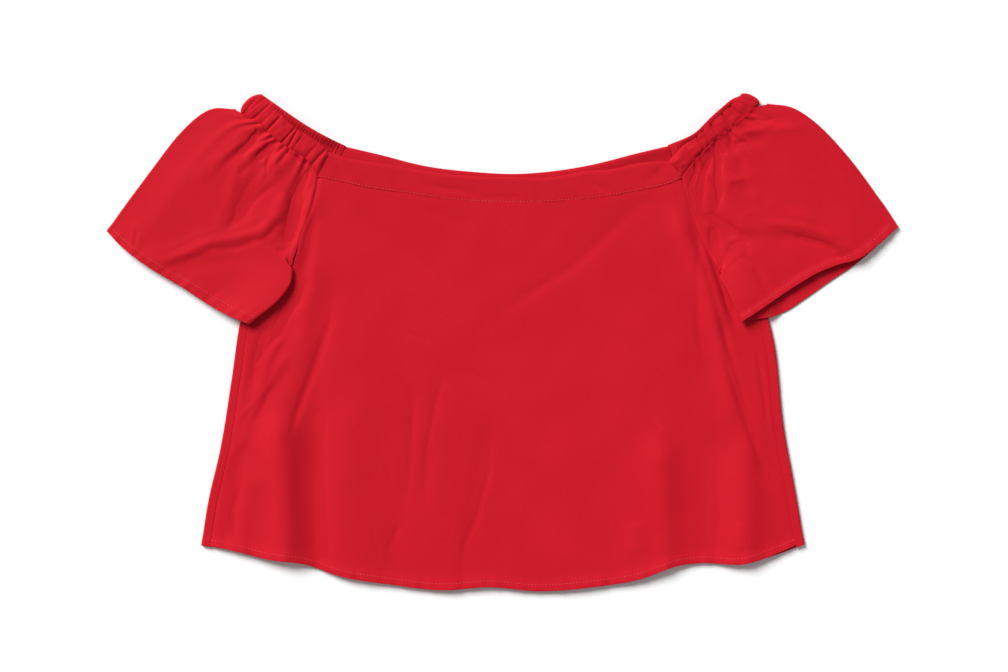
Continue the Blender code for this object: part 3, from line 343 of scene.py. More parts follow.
# Soft drape that the front panel has over the frame's own folds: as its table
BODY_DRAPE = (
    (-198.0, -85.0, -193.0, -228.0, 16.0, 6.0),
    (-166.0, -75.0, -164.0, -215.0, 10.0, -1.2),
    (-225.0, -130.0, -240.0, -190.0, 12.0, 1.0),
    (144.0, -110.0, 148.0, -215.0, 16.0, 3.2),
    (187.0, -100.0, 189.0, -215.0, 12.0, -1.1),
    (220.0, -110.0, 224.0, -200.0, 14.0, 2.2),
    (-175.0, 60.0, -182.0, -40.0, 12.0, 1.2),
    (-130.0, -20.0, -118.0, -215.0, 22.0, 0.8),
    (-60.0, -60.0, -40.0, -215.0, 26.0, 0.7),
    (60.0, -120.0, 66.0, -215.0, 20.0, 0.8),
    (186.0, 80.0, 206.0, -60.0, 9.0, 1.2),
)
PANEL_BOTTOM = 1.6

# How the left armhole seam stands up where the sleeve's folds push it, as a crease
SEAM_LIFTS = (
    (9.0, 1.5, ((-167.0, 140.4), (-172.3, 118.8), (-180.5, 95.4), (-187.7, 72.0), (-190.3, 60.3))),
)

BAND_CREASES = (
    (3.0, -0.35, ((-24, 130), (-2, 130), (20, 130))),
    (2.4, -0.35, ((-151, 159), (-142, 148))),
    (2.4, -0.3, ((-65, 141), (-29, 135))),
    (2.4, -0.3, ((79, 144), (92, 137))),
    (2.4, -0.3, ((137, 155), (146, 146))),
)

# Creases of the casings and the sleeves
CASING_CREASES_LEFT = (
    (0.9, -0.9, ((-207.0, 216.0), (-229.2, 195.6))),
    (1.0, -1.1, ((-197.2, 205.4), (-215.3, 186.5))),
    (0.9, -1.1, ((-184.7, 194.3), (-202.3, 175.3))),
    (0.9, -1.1, ((-182.8, 193.2), (-194.6, 172.4))),
    (0.8, -0.5, ((-178.3, 187.5), (-191.3, 169.0))),
    (0.9, -0.5, ((-211.8, 220.7), (-234.7, 202.3))),
    (1.4, -0.9, ((-156.7, 175.4), (-177.5, 153.5))),
    (3.0, 0.8, ((-155.2, 171), (-162.5, 163.8), (-169.7, 153))),
    (3.6, 0.5, ((-194.8, 195.3), (-204.8, 185.4))),
    (3.6, 0.5, ((-174.2, 179.1), (-182.2, 168.3))),
    (3.6, 0.4, ((-207.5, 207), (-218.2, 196.2))),
    (0.8, -0.6, ((-221.1, 225.2), (-238.0, 206.8))),
    (0.8, -0.6, ((-217.2, 224.3), (-235.6, 201.4))),
    (1.2, -0.5, ((-203.4, 210.2), (-218.8, 194.8))),
    (1.6, -0.5, ((-164.7, 180.2), (-180.0, 161.8))),
)
CASING_CREASES_RIGHT = (
    (0.9, -0.8, ((198.3, 215.6), (219.0, 201.4))),
    (0.8, -0.5, ((199.4, 220.5), (224.4, 209.7))),
    (0.8, -0.4, ((203.0, 224.1), (231.8, 213.3))),
    (1.0, -1.1, ((195.9, 206.9), (203.5, 197.2), (208.1, 192.4))),
    (1.0, -1.1, ((185.5, 199.8), (191.2, 189.0), (196.2, 181.6))),
    (0.9, -0.8, ((177.3, 193.0), (184.1, 183.7), (186.1, 176.8))),
    (1.0, -1.1, ((171.6, 188.8), (180.4, 176.0), (182.2, 169.2))),
    (1.0, -0.5, ((163.4, 181.8), (168.8, 168.3), (174.1, 161.6))),
    (1.2, -0.8, ((147.0, 162.5), (162.3, 149.8))),
    (3.4, 0.5, ((193.1, 199.8), (199.3, 189.9))),
    (3.4, 0.5, ((168.8, 176.4), (176, 167.4))),
    (3.0, 0.4, ((180.5, 196.2), (188.6, 184.5))),
    (3.0, 0.5, ((155.2, 165.6), (163.3, 156.6))),
)
SLEEVE_CREASES_LEFT = (
    (3.0, -1.6, ((-220.1, 185), (-230, 174.7), (-239.8, 168.3))),
    (1.3, -0.9, ((-220.1, 192.6), (-221.4, 188.1), (-227.2, 182.7))),
    (3.4, -2.2, ((-205.2, 180), (-213.1, 171), (-221.8, 163.8))),
    (1.6, -0.9, ((-200.2, 177.3), (-209.2, 169.6), (-212, 159.3), (-212, 147.6))),
    (3.0, 0.9, ((-211.1, 183.6), (-220.1, 175.5), (-231.8, 165.6))),
    (4.0, 1.0, ((-197.6, 171), (-203.8, 163.8), (-204.8, 149.4))),
    (3.0, -0.7, ((-227.2, 160.2), (-233.6, 155.4), (-237.2, 147.6))),
    (3.0, -1.3, ((-172.3, 159.3), (-177.1, 149), (-183.2, 135.9), (-186.8, 125.1), (-185, 111.6))),
    (1.4, -0.8, ((-195.1, 171), (-185, 165.2), (-175.1, 158.4))),
    (4.0, 0.7, ((-166.1, 142.2), (-173.2, 127.8), (-178.7, 111.6))),
    (3.5, 0.6, ((-231.8, 181.8), (-248.8, 169.2), (-263.2, 156.6))),
    (4.0, 0.5, ((-236.2, 157.5), (-242.6, 138.6), (-249.8, 112.5))),
    (3.0, -0.6, ((-202.1, 144), (-227.2, 125.1), (-249.8, 99))),
    (4.4, 1.1, ((-197.6, 120.6), (-216.5, 100.8), (-239, 93.6), (-263.2, 90), (-283.1, 81),
        (-299.2, 73.8), (-314.6, 73.8))),
    (3.2, -0.8, ((-193.1, 115.2), (-212.8, 93.6), (-238.1, 85.5), (-261.4, 82.8), (-281.2, 73.8))),
    (2.0, -0.6, ((-328.9, 102.6), (-330.8, 82.8))),
    (2.4, -0.5, ((-189.5, 84.6), (-204.8, 81))),
    (6.5, -2.0, ((-179.6, 136.8), (-184.1, 123.3), (-187.7, 105.3), (-194.0, 82.8))),
    (6.0, 0.9, ((-194.0, 136.8), (-199.3, 123.3), (-203.8, 105.3))),
    (7.0, -0.9, ((-216.5, 154.8), (-227.2, 136.8), (-238.1, 109.8))),
)
SLEEVE_CREASES_RIGHT = (
    (1.3, -0.8, ((221.8, 200.2), (236.9, 199.2), (245.2, 200.7))),
    (1.6, -0.5, ((208.3, 178.4), (221, 180.6))),
    (1.4, -0.9, ((205.4, 193.1), (205.4, 183.7), (205.7, 175.5))),
    (2.4, -2.0, ((191.2, 184.5), (192.5, 174.7), (194.5, 164.4), (193.9, 149), (195.8, 135),
        (194, 121.5))),
    (2.2, -1.2, ((193.1, 184.5), (198.4, 173.4), (200.2, 167.4))),
    (2.6, -1.2, ((184.9, 170.1), (186.8, 164.4), (181.6, 154.2), (179, 145.8), (176.8, 117))),
    (2.0, -0.9, ((175.1, 162.9), (173.9, 151.6), (170, 142.6), (167.8, 135))),
    (3.6, 0.45, ((199.3, 163.8), (202.1, 147.6), (202.1, 132.3))),
    (3.4, 0.35, ((188.6, 159.3), (185.8, 145.8), (185.8, 127.8))),
    (3.0, 0.8, ((210.2, 187.2), (222.8, 189.9), (240.8, 191.7))),
    (3.0, 0.6, ((202.1, 144.9), (218.2, 146.7))),
    (3.0, 0.5, ((243.5, 191.7), (270.4, 192.6))),
    (3.0, -0.7, ((177.8, 112.5), (186.8, 109.8))),
    (3.4, -0.8, ((188.6, 100.8), (191.2, 73.8))),
    (4.4, 1.1, ((227.2, 108), (256.1, 105.3), (272.2, 102.6), (292.1, 96.3), (308.2, 85.5))),
    (3.2, -0.9, ((258.8, 96.3), (292.1, 87.3), (303.8, 80.1))),
    (3.0, -0.6, ((195.8, 105.3), (221, 93.6))),
    (2.0, -0.6, ((297.4, 76.5), (310.9, 76.5))),
    (3.4, -0.8, ((202.1, 90), (213.8, 80.1), (227.2, 69.3), (234.5, 53.1), (245.2, 45))),
    (5.0, -1.1, ((181.3, 115.2), (192.2, 108.9), (203.8, 101.7), (210.2, 91.8))),
    (4.0, -1.2, ((188.6, 105.3), (192.2, 87.3), (197.6, 72.0))),
    (6.0, -0.8, ((212.0, 172.8), (215.6, 150.3), (222.8, 127.8))),
    (7.0, 0.8, ((231.8, 127.8), (258.8, 114.3), (285.8, 105.3))),
    (8.0, -1.4, ((194.0, 64.8), (203.0, 75.6), (213.8, 84.6), (224.6, 91.8))),
    (5.0, -0.9, ((175.1, 141.3), (172.3, 123.3), (177.8, 108.0))),
)
CASING_CREASES = {"left": CASING_CREASES_LEFT, "right": CASING_CREASES_RIGHT}
SLEEVE_CREASES = {"left": SLEEVE_CREASES_LEFT, "right": SLEEVE_CREASES_RIGHT}

# Turned hems: how deep the turning is, and where its stitches run
HEM_DEPTH = 7.0
HEM_STITCH_LINE = 5.4
SLEEVE_HEM_DEPTH = 8.5
SLEEVE_HEM_LINE = 7.2


def smooth(t):
    """0 below 0, 1 above 1 and a soft ramp between."""
    t = np.clip(t, 0.0, 1.0)
    return t * t * (3.0 - 2.0 * t)


def hermite(knots, values, s):
    """Values at s on a smooth line through the values at the knots."""
    slopes = np.gradient(values, knots, axis=0)
    i = np.clip(np.searchsorted(knots, s, side="right") - 1, 0, len(knots) - 2)
    step = (knots[i + 1] - knots[i])[..., None]
    k = ((s - knots[i])[..., None]) / step
    a, b = values[i], values[i + 1]
    da, db = slopes[i] * step, slopes[i + 1] * step
    return (
        a * (2 * k**3 - 3 * k**2 + 1) + da * (k**3 - 2 * k**2 + k)
        + b * (3 * k**2 - 2 * k**3) + db * (k**3 - k**2)
    )


def curve(points):
    """A smooth curve through points, from 0 at its start to 1 at its end."""
    p = np.array(points, float)
    run = np.concatenate([[0.0], np.cumsum(np.linalg.norm(np.diff(p, axis=0), axis=1))])
    return lambda s: hermite(run / run[-1], p, np.clip(np.asarray(s, float), 0.0, 1.0))


def along(table, first):
    """A smooth curve through two columns of a table, placed by the table's first column."""
    rows = np.array(table, float)
    places, values = rows[:, 0], rows[:, first:first + 2]
    return lambda s: hermite(places, values, np.clip(np.asarray(s, float), 0.0, 1.0))


def joined(first, second, share):
    """One curve that has run through the first by share and through the second by 1."""
    def at(s):
        s = np.asarray(s, float)
        early = (s < share)[..., None]
        return np.where(early, first(s / share), second((s - share) / (1.0 - share)))
    return at


def patch(top, bottom, left, right):
    """The plan of a piece between four edges. u runs from left to right, v from top to bottom."""
    def at(u, v):
        u, v = np.asarray(u, float), np.asarray(v, float)
        u, v = np.broadcast_arrays(u, v)
        a, b = u[..., None], v[..., None]
        zero, one = np.zeros_like(u), np.ones_like(u)
        corners = (
            (1 - a) * (1 - b) * left(zero) + a * (1 - b) * right(zero)
            + (1 - a) * b * left(one) + a * b * right(one)
        )
        return (1 - b) * top(u) + b * bottom(u) + (1 - a) * left(v) + a * right(v) - corners
    return at


def folds(table, x, y):
    """Height that a table of folds adds at x, y."""
    height = np.zeros_like(x)
    for x0, y0, x1, y1, width, lift in table:
        length = math.hypot(x1 - x0, y1 - y0)
        ax, ay = (x1 - x0) / length, (y1 - y0) / length
        on = ((x - x0) * ax + (y - y0) * ay) / length
        off = (x - x0) * ay - (y - y0) * ax
        past = np.maximum(np.abs(on - 0.5) - 0.5, 0.0) * length
        height = height + lift * np.exp(-((off / width) ** 2) - (past / (1.6 * width)) ** 2)
    return height


def between(low, high, z):
    """z held between low and high, with a soft approach to both."""
    middle, half = (low + high) / 2, (high - low) / 2
    return middle + half * np.tanh((z - middle) / half)


def armhole(sections, first):
    """The armhole from the neck to the underarm, which is the sleeve's own seam."""
    seam = along(sections, first)
    return lambda s: seam(UNDERARM * np.asarray(s, float))


def body_edge(sections, first, side):
    """Side of the body from the neck to the hem: armhole, then side fold."""
    return joined(armhole(sections, first), curve(side), ARMHOLE_SHARE)


EDGE_STEPS = np.linspace(0.0, 1.0, 60)
LEFT_EDGE = body_edge(SLEEVE_LEFT, 3, SIDE_LEFT)(EDGE_STEPS)
RIGHT_EDGE = body_edge(SLEEVE_RIGHT, 3, SIDE_RIGHT)(EDGE_STEPS)
NECK_LINE = np.array(NECK_SEAM)


def edge_x(edge, y):
    """x of a side edge of the body at height y on the plan."""
    return np.interp(y, edge[::-1, 1], edge[::-1, 0])


def panel_mid(x, y):
    """Height of the middle of the front panel's wall."""
    inside = np.minimum(x - edge_x(LEFT_EDGE, y), edge_x(RIGHT_EDGE, y) - x)
    below_neck = np.interp(x, NECK_LINE[:, 0], NECK_LINE[:, 1]) - y
    edge = np.interp(y, EDGE_MID_AT, EDGE_MIDS)
    middle = 3.35 + 0.55 * np.exp(-np.maximum(below_neck, 0.0) / 22.0)
    rest = edge + (middle - edge) * smooth(inside / 32.0)
    lift = folds(PANEL_FOLDS, x, y) * smooth(inside / 14.0) * smooth(below_neck / 14.0)
    return between(PANEL_LOWEST, PANEL_HIGHEST, rest + lift)


def portion(whole, start, stop):
    """The stretch of a curve between two shares of its length."""
    return lambda s: whole(start + (stop - start) * np.asarray(s, float))


def front_edge(sections, side, inwards):
    """Side edge of the front panel: the armhole, then the seam inside the folded side."""
    whole = body_edge(sections, 3, side)

    def at(s):
        p = whole(s).copy()
        p[..., 0] += inwards * (SEAM_GAP + SIDE_WRAP * smooth((UNDERARM_Y - p[..., 1]) / WRAP_START))
        return p
    return at


def lowered(points, by):
    """The same points, moved down the plan."""
    return tuple((x, y - by) for x, y in points)


def pinned(edge, start, stop):
    """The same edge with its two ends drawn to the corners that it is sewn to."""
    def at(s):
        s = np.asarray(s, float)[..., None]
        return edge(s[..., 0]) + (start - edge(0.0)) * smooth(1 - s / 0.1) + (stop - edge(1.0)) * smooth((s - 0.9) / 0.1)
    return at


def front_panel():
    left = front_edge(SLEEVE_LEFT, SIDE_LEFT, 1.0)
    right = front_edge(SLEEVE_RIGHT, SIDE_RIGHT, -1.0)
    neck = pinned(curve(lowered(NECK_SEAM, SEAM_GAP)), left(0.0), right(0.0))
    inset = (SIDE_WRAP + SEAM_GAP) / (HEM[-1][0] - HEM[0][0])
    hem = pinned(portion(curve(HEM), inset, 1.0 - inset), left(1.0), right(1.0))
    plan = patch(neck, hem, left, right)

    def at(u, v):
        p = plan(u, v)
        return np.stack([p[..., 0], p[..., 1], panel_mid(p[..., 0], p[..., 1])], axis=-1)
    return at


def back_panel():
    """The back, flat on the surface, with its folded sides and their seams on the front."""
    left = body_edge(SLEEVE_LEFT, 5, SIDE_LEFT)
    right = body_edge(SLEEVE_RIGHT, 5, SIDE_RIGHT)
    top = curve(lowered(BAND_BOTTOM_BACK, SEAM_GAP + 0.2))
    plan = patch(top, curve(lowered(HEM, BACK_HEM_UP)), left, right)

    def at(u, v):
        from_side = np.minimum(u, 1.0 - u) / EDGE_SHARE
        inner_share = np.clip((from_side - 1.0) / (0.5 / EDGE_SHARE - 1.0), 0.0, 1.0) * 0.5
        edge = np.where((u < 0.5)[..., None], left(v), right(v))
        width = np.linalg.norm(right(v) - left(v), axis=-1)
        radius = (panel_mid(edge[..., 0], edge[..., 1]) - FLOOR_MID) / 2
        angle = math.pi * np.clip((0.8 - from_side) / 0.45, 0.0, 1.0)
        strip = (SIDE_WRAP - radius) * np.clip((0.35 - from_side) / 0.35, 0.0, 1.0)
        run_in = (FLAT_FROM - radius) * np.clip((from_side - 0.8) / 0.2, 0.0, 1.0)
        wrap_x = radius - radius * np.sin(angle) + run_in + strip
        wrap_z = radius * (1.0 - np.cos(angle))
        open_x = SEAM_GAP + (FLAT_FROM - SEAM_GAP) * np.clip(from_side, 0.0, 1.0)
        wrapped = (UNDERARM_Y - edge[..., 1] - WRAP_START) / (WRAP_FULL - WRAP_START)
        raised, folded = smooth(wrapped / 0.6), smooth((wrapped - 0.4) / 0.6)
        rim_x = open_x + (wrap_x - open_x) * folded
        is_inner = from_side >= 1.0
        start = FLAT_FROM / width
        across = np.where(is_inner, start + (1.0 - 2.0 * start) * inner_share, rim_x / width)
        p = plan(np.where(u < 0.5, across, 1.0 - across), v)
        z = FLOOR_MID + np.where(is_inner, 0.0, wrap_z * raised)
        return np.stack([p[..., 0], p[..., 1], z], axis=-1)
    return at


def neck_band_front():
    corners = [np.array(p) + (BAND_TUCK * math.copysign(1.0, p[0]), 0.0) for p in (
        BAND_TOP_FRONT[0], BAND_TOP_FRONT[-1], NECK_SEAM[0], NECK_SEAM[-1])]
    top = pinned(curve(BAND_TOP_FRONT), corners[0], corners[1])
    bottom = pinned(curve(NECK_SEAM), corners[2], corners[3])
    left = curve((corners[0], corners[2]))
    right = curve((corners[1], corners[3]))
    plan = patch(top, bottom, left, right)

    def at(u, v):
        p = plan(u, v)
        x, y = p[..., 0], p[..., 1]
        z = 3.85 + 0.5 * np.abs(2.0 * u - 1.0) ** 3 + folds(BAND_FOLDS, x, y)
        return np.stack([x, y, z], axis=-1)
    return at


def neck_band_back():
    top = portion(curve(BAND_TOP_BACK), -BACK_BAND_TUCK, 1.0 + BACK_BAND_TUCK)
    bottom = portion(curve(BAND_BOTTOM_BACK), -BACK_BAND_TUCK, 1.0 + BACK_BAND_TUCK)

    def at(u, v):
        b = v[..., None]
        p = (1 - b) * top(u) + b * bottom(u)
        return np.stack([p[..., 0], p[..., 1], np.full_like(u, BAND_WALL / 2)], axis=-1)
    return at


def pleats(count, s):
    """Uneven pleats along a casing, from -1 in a pleat's trough to 1 on its crest."""
    bent = s + 0.012 * np.sin(2 * math.pi * 3.0 * s + 0.7) + 0.008 * np.sin(2 * math.pi * 7.0 * s)
    return np.cos(2 * math.pi * count * bent)


def casing(front, back, bulge):
    """A strip along the front, over the shoulder fold and back. u runs along, v across."""
    front, back = np.array(front, float), np.array(back, float)
    front_top, front_bottom = curve(front[:, :2]), curve(front[:, 2:])
    back_top, back_bottom = curve(back[:, :2]), curve(back[:, 2:])
    back_mid = CASING_WALL / 2
    radius = (CASING_END_MID - back_mid) / 2
    fold = front[-1]
    mirrored = fold[0] < 0
    across = (fold[2:] - fold[:2]) / np.linalg.norm(fold[2:] - fold[:2])
    outwards = np.array([across[1], -across[0]]) * (1.0 if across[1] * fold[0] > 0 else -1.0)

    def shares(u):
        """How far along the front, round the shoulder fold and along the back."""
        on_front = np.clip(u / CASING_TURN[0], 0.0, 1.0)
        turn = np.clip((u - CASING_TURN[0]) / (CASING_TURN[1] - CASING_TURN[0]), 0.0, 1.0)
        on_back = np.clip((u - CASING_TURN[1]) / (1.0 - CASING_TURN[1]), 0.0, 1.0)
        return on_front, turn, on_back

    def at(u, v):
        b = v[..., None]
        s_front, turn, s_back = shares(u)
        on_front = (1 - b) * front_top(s_front) + b * front_bottom(s_front)
        on_back = (1 - b) * back_top(s_back) + b * back_bottom(s_back)
        blend = smooth(turn)[..., None]
        near_fold = np.where(turn < 0.5, s_front, 1.0 - s_back)
        swell = bulge * 4.0 * v * (1.0 - v) * smooth((near_fold - BULGE_FROM) / (1.0 - BULGE_FROM))
        push = swell + radius * np.sin(math.pi * turn)
        plan = (1 - blend) * on_front + blend * on_back + push[..., None] * outwards
        rise = CASING_END_MID + CASING_RISE * np.sin(math.pi * s_front) ** 0.8
        arc = back_mid + radius * (1.0 + np.cos(math.pi * turn))
        z = np.where(turn <= 0.0, rise, np.where(turn >= 1.0, back_mid, arc))
        return np.stack([plan[..., 0], plan[..., 1], z], axis=-1)

    def thickness(u, v):
        """Half walls: pleats stand out on the front, and into the neck on the back."""
        s_front, _, s_back = shares(u)
        rounded = 1.0 - 0.45 * np.clip((np.abs(2.0 * v - 1.0) - 0.7) / 0.3, 0.0, 1.0)
        fade_front = smooth(s_front / 0.05) * smooth((1.0 - s_front) / 0.1)
        fade_back = smooth(s_back / 0.1) * smooth((1.0 - s_back) / 0.05)
        half = CASING_WALL / 2 * rounded
        outer = half + PLEAT_DEPTH * (pleats(FRONT_PLEATS, s_front) - 0.2) * fade_front
        inner = half + BACK_PLEAT_DEPTH * (pleats(BACK_PLEATS, s_back) - 0.6) * fade_back
        return (inner, outer) if mirrored else (outer, inner)
    return at, thickness


def gathers(count, s, phase):
    """Uneven gathers along a seam, from -1 to 1."""
    slow = 0.016 * np.sin(2 * math.pi * 2.0 * s + phase)
    quick = 0.010 * np.sin(2 * math.pi * 5.0 * s + 2.0 * phase)
    return np.cos(2 * math.pi * count * (s + slow + quick))


def gathered_seam(casing_rows, from_fold, outer):
    """The sleeve's edge along its casing, from the outer fold to the band."""
    rows = np.array(casing_rows, float)
    upper, lower = curve(rows[:, :2]), curve(rows[:, 2:])

    def at(a):
        s = np.asarray(a, float) if from_fold else 1.0 - np.asarray(a, float)
        away = lower(s) - upper(s)
        away = away / np.linalg.norm(away, axis=-1)[..., None]
        near = 1.0 - smooth(np.asarray(a, float) / 0.1)[..., None]
        beside = lower(s) + away * CASING_GAP
        return beside + (np.array(outer) - beside) * near
    return at


def unit(vectors):
    """The same directions with a length of one."""
    return vectors / np.maximum(np.linalg.norm(vectors, axis=-1), 1e-6)[..., None]


def sleeve(side):
    """A sleeve as one cloth that goes round: from its back seam out to the outer fold, back
    over the top to the edge that shows, and under that edge to its front seam.
    u runs that way round, v from the casing to the cuff."""
    sections = side["sections"]
    outer, seam, back_seam, overhang = (along(sections, first) for first in (1, 3, 5, 7))

    def shown(v):
        return seam(v) + np.where((v > OVERHANG_START)[..., None], overhang(v), 0.0)

    corner = sections[0][1:3]
    front_head = gathered_seam(side["casing_front"], False, corner)
    back_head = gathered_seam(side["casing_back"], True, corner)
    upper = patch(outer, shown, front_head, curve(side["cuff_front"]))
    lower = patch(outer, back_seam, back_head, curve(side["cuff_back"]))

    def lower_mid(a, v, from_seam):
        """Middle height of the lower layer, a from the outer fold to the back seam."""
        middle = smooth((a - 0.02) / 0.1) * smooth((0.98 - a) / 0.1)
        wave = 0.5 + 0.5 * (1.0 + gathers(BACK_GATHERS, a, 1.3))
        gathered = np.exp(-v / GATHER_REACH) * middle * wave
        past_underarm = smooth((v - UNDERARM - 0.005) / 0.05)
        return FLOOR_MID + gathered + ON_SIDE_FOLD * past_underarm * (1.0 - smooth(from_seam / 11.0))

    def back_layer(u, v):
        start, finish = outer(v), back_seam(v)
        width = np.linalg.norm(finish - start, axis=-1)
        reach = SLEEVE_FOLD_RADIUS / width
        a = reach + (1.0 - reach) * np.clip(1.0 - u / BACK_TO, 0.0, 1.0)
        from_seam = (1.0 - a) * width
        beside = (SEAM_GAP + 0.2) * smooth(1.0 - from_seam / 12.0)
        plan = lower(v, a) + unit(start - finish) * beside[..., None]
        return plan, lower_mid(a, v, from_seam)

    def outer_fold(u, v):
        start = outer(v)
        from_a = SLEEVE_FOLD_RADIUS / np.linalg.norm(back_seam(v) - start, axis=-1)
        to_a = SLEEVE_FOLD_RADIUS / np.linalg.norm(shown(v) - start, axis=-1)
        from_foot, to_foot = lower(v, from_a), upper(v, to_a)
        angle = math.pi * np.clip((u - BACK_TO) / (FOLD_TO - BACK_TO), 0.0, 1.0)
        over = (0.5 - 0.5 * np.cos(angle))[..., None]
        run = outer(np.clip(v + NUDGE, 0, 1)) - outer(np.clip(v - NUDGE, 0, 1))
        heading = unit(np.stack([run[..., 1], -run[..., 0]], axis=-1) / NUDGE)
        inwards = np.sum(heading * (start - upper(v, np.full(u.shape, 0.3))), axis=-1) < 0
        heading = np.where(inwards[..., None], -heading, heading)
        reach = (SLEEVE_FOLD_RADIUS * np.sin(angle))[..., None]
        plan = from_foot + (to_foot - from_foot) * over + heading * reach
        return plan, FLOOR_MID + SLEEVE_FOLD_RADIUS * (1.0 - np.cos(angle))

    def front_layer(u, v):
        """The upper layer, and what turns under its edge where that hangs past the seam."""
        start, edge, joint = outer(v), shown(v), seam(v)
        past_seam = np.linalg.norm(edge - joint, axis=-1)
        raised, folded = smooth(past_seam / 2.5), smooth((past_seam - 2.0) / 4.0)
        lifted = smooth((v - OVERHANG_START - 0.05) / 0.35)
        radius = EDGE_RADIUS + EDGE_RADIUS_ADDED * lifted
        edge_panel = panel_mid(edge[..., 0], edge[..., 1])
        z_under = edge_panel + ON_PANEL + EDGE_RAISED * smooth((v - OVERHANG_START - 0.05) / 0.3)
        rise = smooth((v - OVERHANG_START + 0.13) / 0.11)
        z_seam = panel_mid(joint[..., 0], joint[..., 1]) + ON_PANEL * rise
        z_edge = (1.0 - raised) * z_seam + raised * (z_under + 2.0 * radius)

        width = np.linalg.norm(edge - start, axis=-1)
        inside_edge = 8.0 * (1.0 - folded) + radius * folded
        a_first, a_last = SLEEVE_FOLD_RADIUS / width, 1.0 - inside_edge / width
        a = a_first + (a_last - a_first) * np.clip((u - FOLD_TO) / (UPPER_TO - FOLD_TO), 0.0, 1.0)
        tail = np.clip((u - UPPER_TO) / (1.0 - UPPER_TO), 0.0, 1.0)
        a = np.where(u > UPPER_TO, a_last + (1.0 - SEAM_GAP / width - a_last) * tail, a)
        plan = upper(v, a)

        near_casing = np.exp(-v / GATHER_REACH)
        crown = SLEEVE_CROWN + 1.1 * near_casing - 0.25 * smooth((v - 0.8) / 0.2)
        rim = FLOOR_MID + 2.0 * SLEEVE_FOLD_RADIUS
        z = rim + (crown - rim) * smooth((a - a_first) / (0.2 - a_first))
        z = z + (z_edge - crown) * smooth((a - 0.7) / (a_last - 0.7))
        still = smooth((a - 0.02) / 0.1) * smooth((a_last - a) / 0.12)
        lift = folds(side["folds"], plan[..., 0], plan[..., 1])
        lift = lift + near_casing * gathers(FRONT_GATHERS, a, 0.4)
        z = z + between(-2.2, 2.0, lift) * still
        ceiling = lower_mid(a, v, (1.0 - a) * width) + WALL + SLEEVE_ROOM
        z = np.where(z > ceiling, z + (ceiling - z) * smooth((0.8 - a) / 0.1), z)

        centre = upper(v, a_last)
        heading = unit(edge - centre)
        bend = math.pi * np.clip((u - UPPER_TO) / (TURN_TO - UPPER_TO), 0.0, 1.0)
        turn_plan = centre + heading * (radius * np.sin(bend))[..., None]
        turn_z = z_edge - radius * (1.0 - np.cos(bend))
        share = np.clip((u - TURN_TO) / (1.0 - TURN_TO), 0.0, 1.0)
        under_plan = centre + (joint - centre) * share[..., None]
        under_panel = panel_mid(under_plan[..., 0], under_plan[..., 1])
        under_z = under_panel + ON_PANEL + (z_under - edge_panel - ON_PANEL) * (1 - smooth(share))
        past_turn = u > TURN_TO
        fold_plan = np.where(past_turn[..., None], under_plan, turn_plan)
        fold_z = np.where(past_turn, under_z, turn_z)
        is_tail = u > UPPER_TO
        turned = (folded * is_tail)[..., None]
        return plan + (fold_plan - plan) * turned, z + (fold_z - z) * raised * is_tail

    def at(u, v):
        back, fold, front = back_layer(u, v), outer_fold(u, v), front_layer(u, v)
        is_back, is_fold = u < BACK_TO, u <= FOLD_TO
        plan = np.where(is_back[..., None], back[0], np.where(is_fold[..., None], fold[0], front[0]))
        z = np.where(is_back, back[1], np.where(is_fold, fold[1], front[1]))
        return np.stack([plan[..., 0], plan[..., 1], z], axis=-1)
    return at


def creases(table, x, y):
    """Height that sharp creases add at x, y. Each crease fades out at its ends."""
    height = np.zeros_like(x)
    for width, lift, points in table:
        nearest, share = np.full_like(x, 1e9), np.zeros_like(x)
        lengths = [math.dist(a, b) for a, b in zip(points, points[1:])]
        run = 0.0
        for (x0, y0), (x1, y1), length in zip(points, points[1:], lengths):
            on = np.clip(((x - x0) * (x1 - x0) + (y - y0) * (y1 - y0)) / length**2, 0.0, 1.0)
            away = np.hypot(x - x0 - on * (x1 - x0), y - y0 - on * (y1 - y0))
            share = np.where(away < nearest, (run + on * length) / sum(lengths), share)
            nearest = np.minimum(nearest, away)
            run += length
        ends = smooth(share / 0.25) * smooth((1.0 - share) / 0.25)
        height = height + lift * np.exp(-((nearest / width) ** 2)) * (0.15 + 0.85 * ends)
    return height


def slack(x, y, seed, longest, shortest, height):
    """The soft unevenness of cloth that lies loose: a sum of a few long waves."""
    draw = np.random.default_rng(seed)
    total = np.zeros_like(x)
    for k in range(14):
        length = longest * (shortest / longest) ** (k / 13)
        turn, shift = draw.uniform(0, 2 * math.pi, 2)
        bend = draw.uniform(0.5, 1.5)
        across = x * math.cos(turn) + y * math.sin(turn)
        along_wave = y * math.cos(turn) - x * math.sin(turn)
        wave = np.sin(2 * math.pi * (across / length + bend * np.sin(along_wave / (1.7 * length)) / 6) + shift)
        total = total + wave * (length / longest)
    return height * total / 3.0


def hem_relief(away, run, depth, stitch_line, seed):
    """A turned hem: twice the cloth up to its depth, sunk at its stitches and a little puckered."""
    draw = np.random.default_rng(seed)
    pucker = np.zeros_like(run)
    for length in (11.9, 19.0, 33.0, 61.0):
        pucker = pucker + np.sin(2 * math.pi * run / length + draw.uniform(0, 6.3))
    turned = 0.3 * (1.0 - smooth((away - depth) / 1.6)) + (0.7 + 0.09 * pucker) * (1.0 - smooth(away / 15.0))
    sunk = -0.25 * np.exp(-(((away - stitch_line) / 0.9) ** 2))
    return turned + sunk + 0.06 * pucker * np.exp(-away / 9.0)


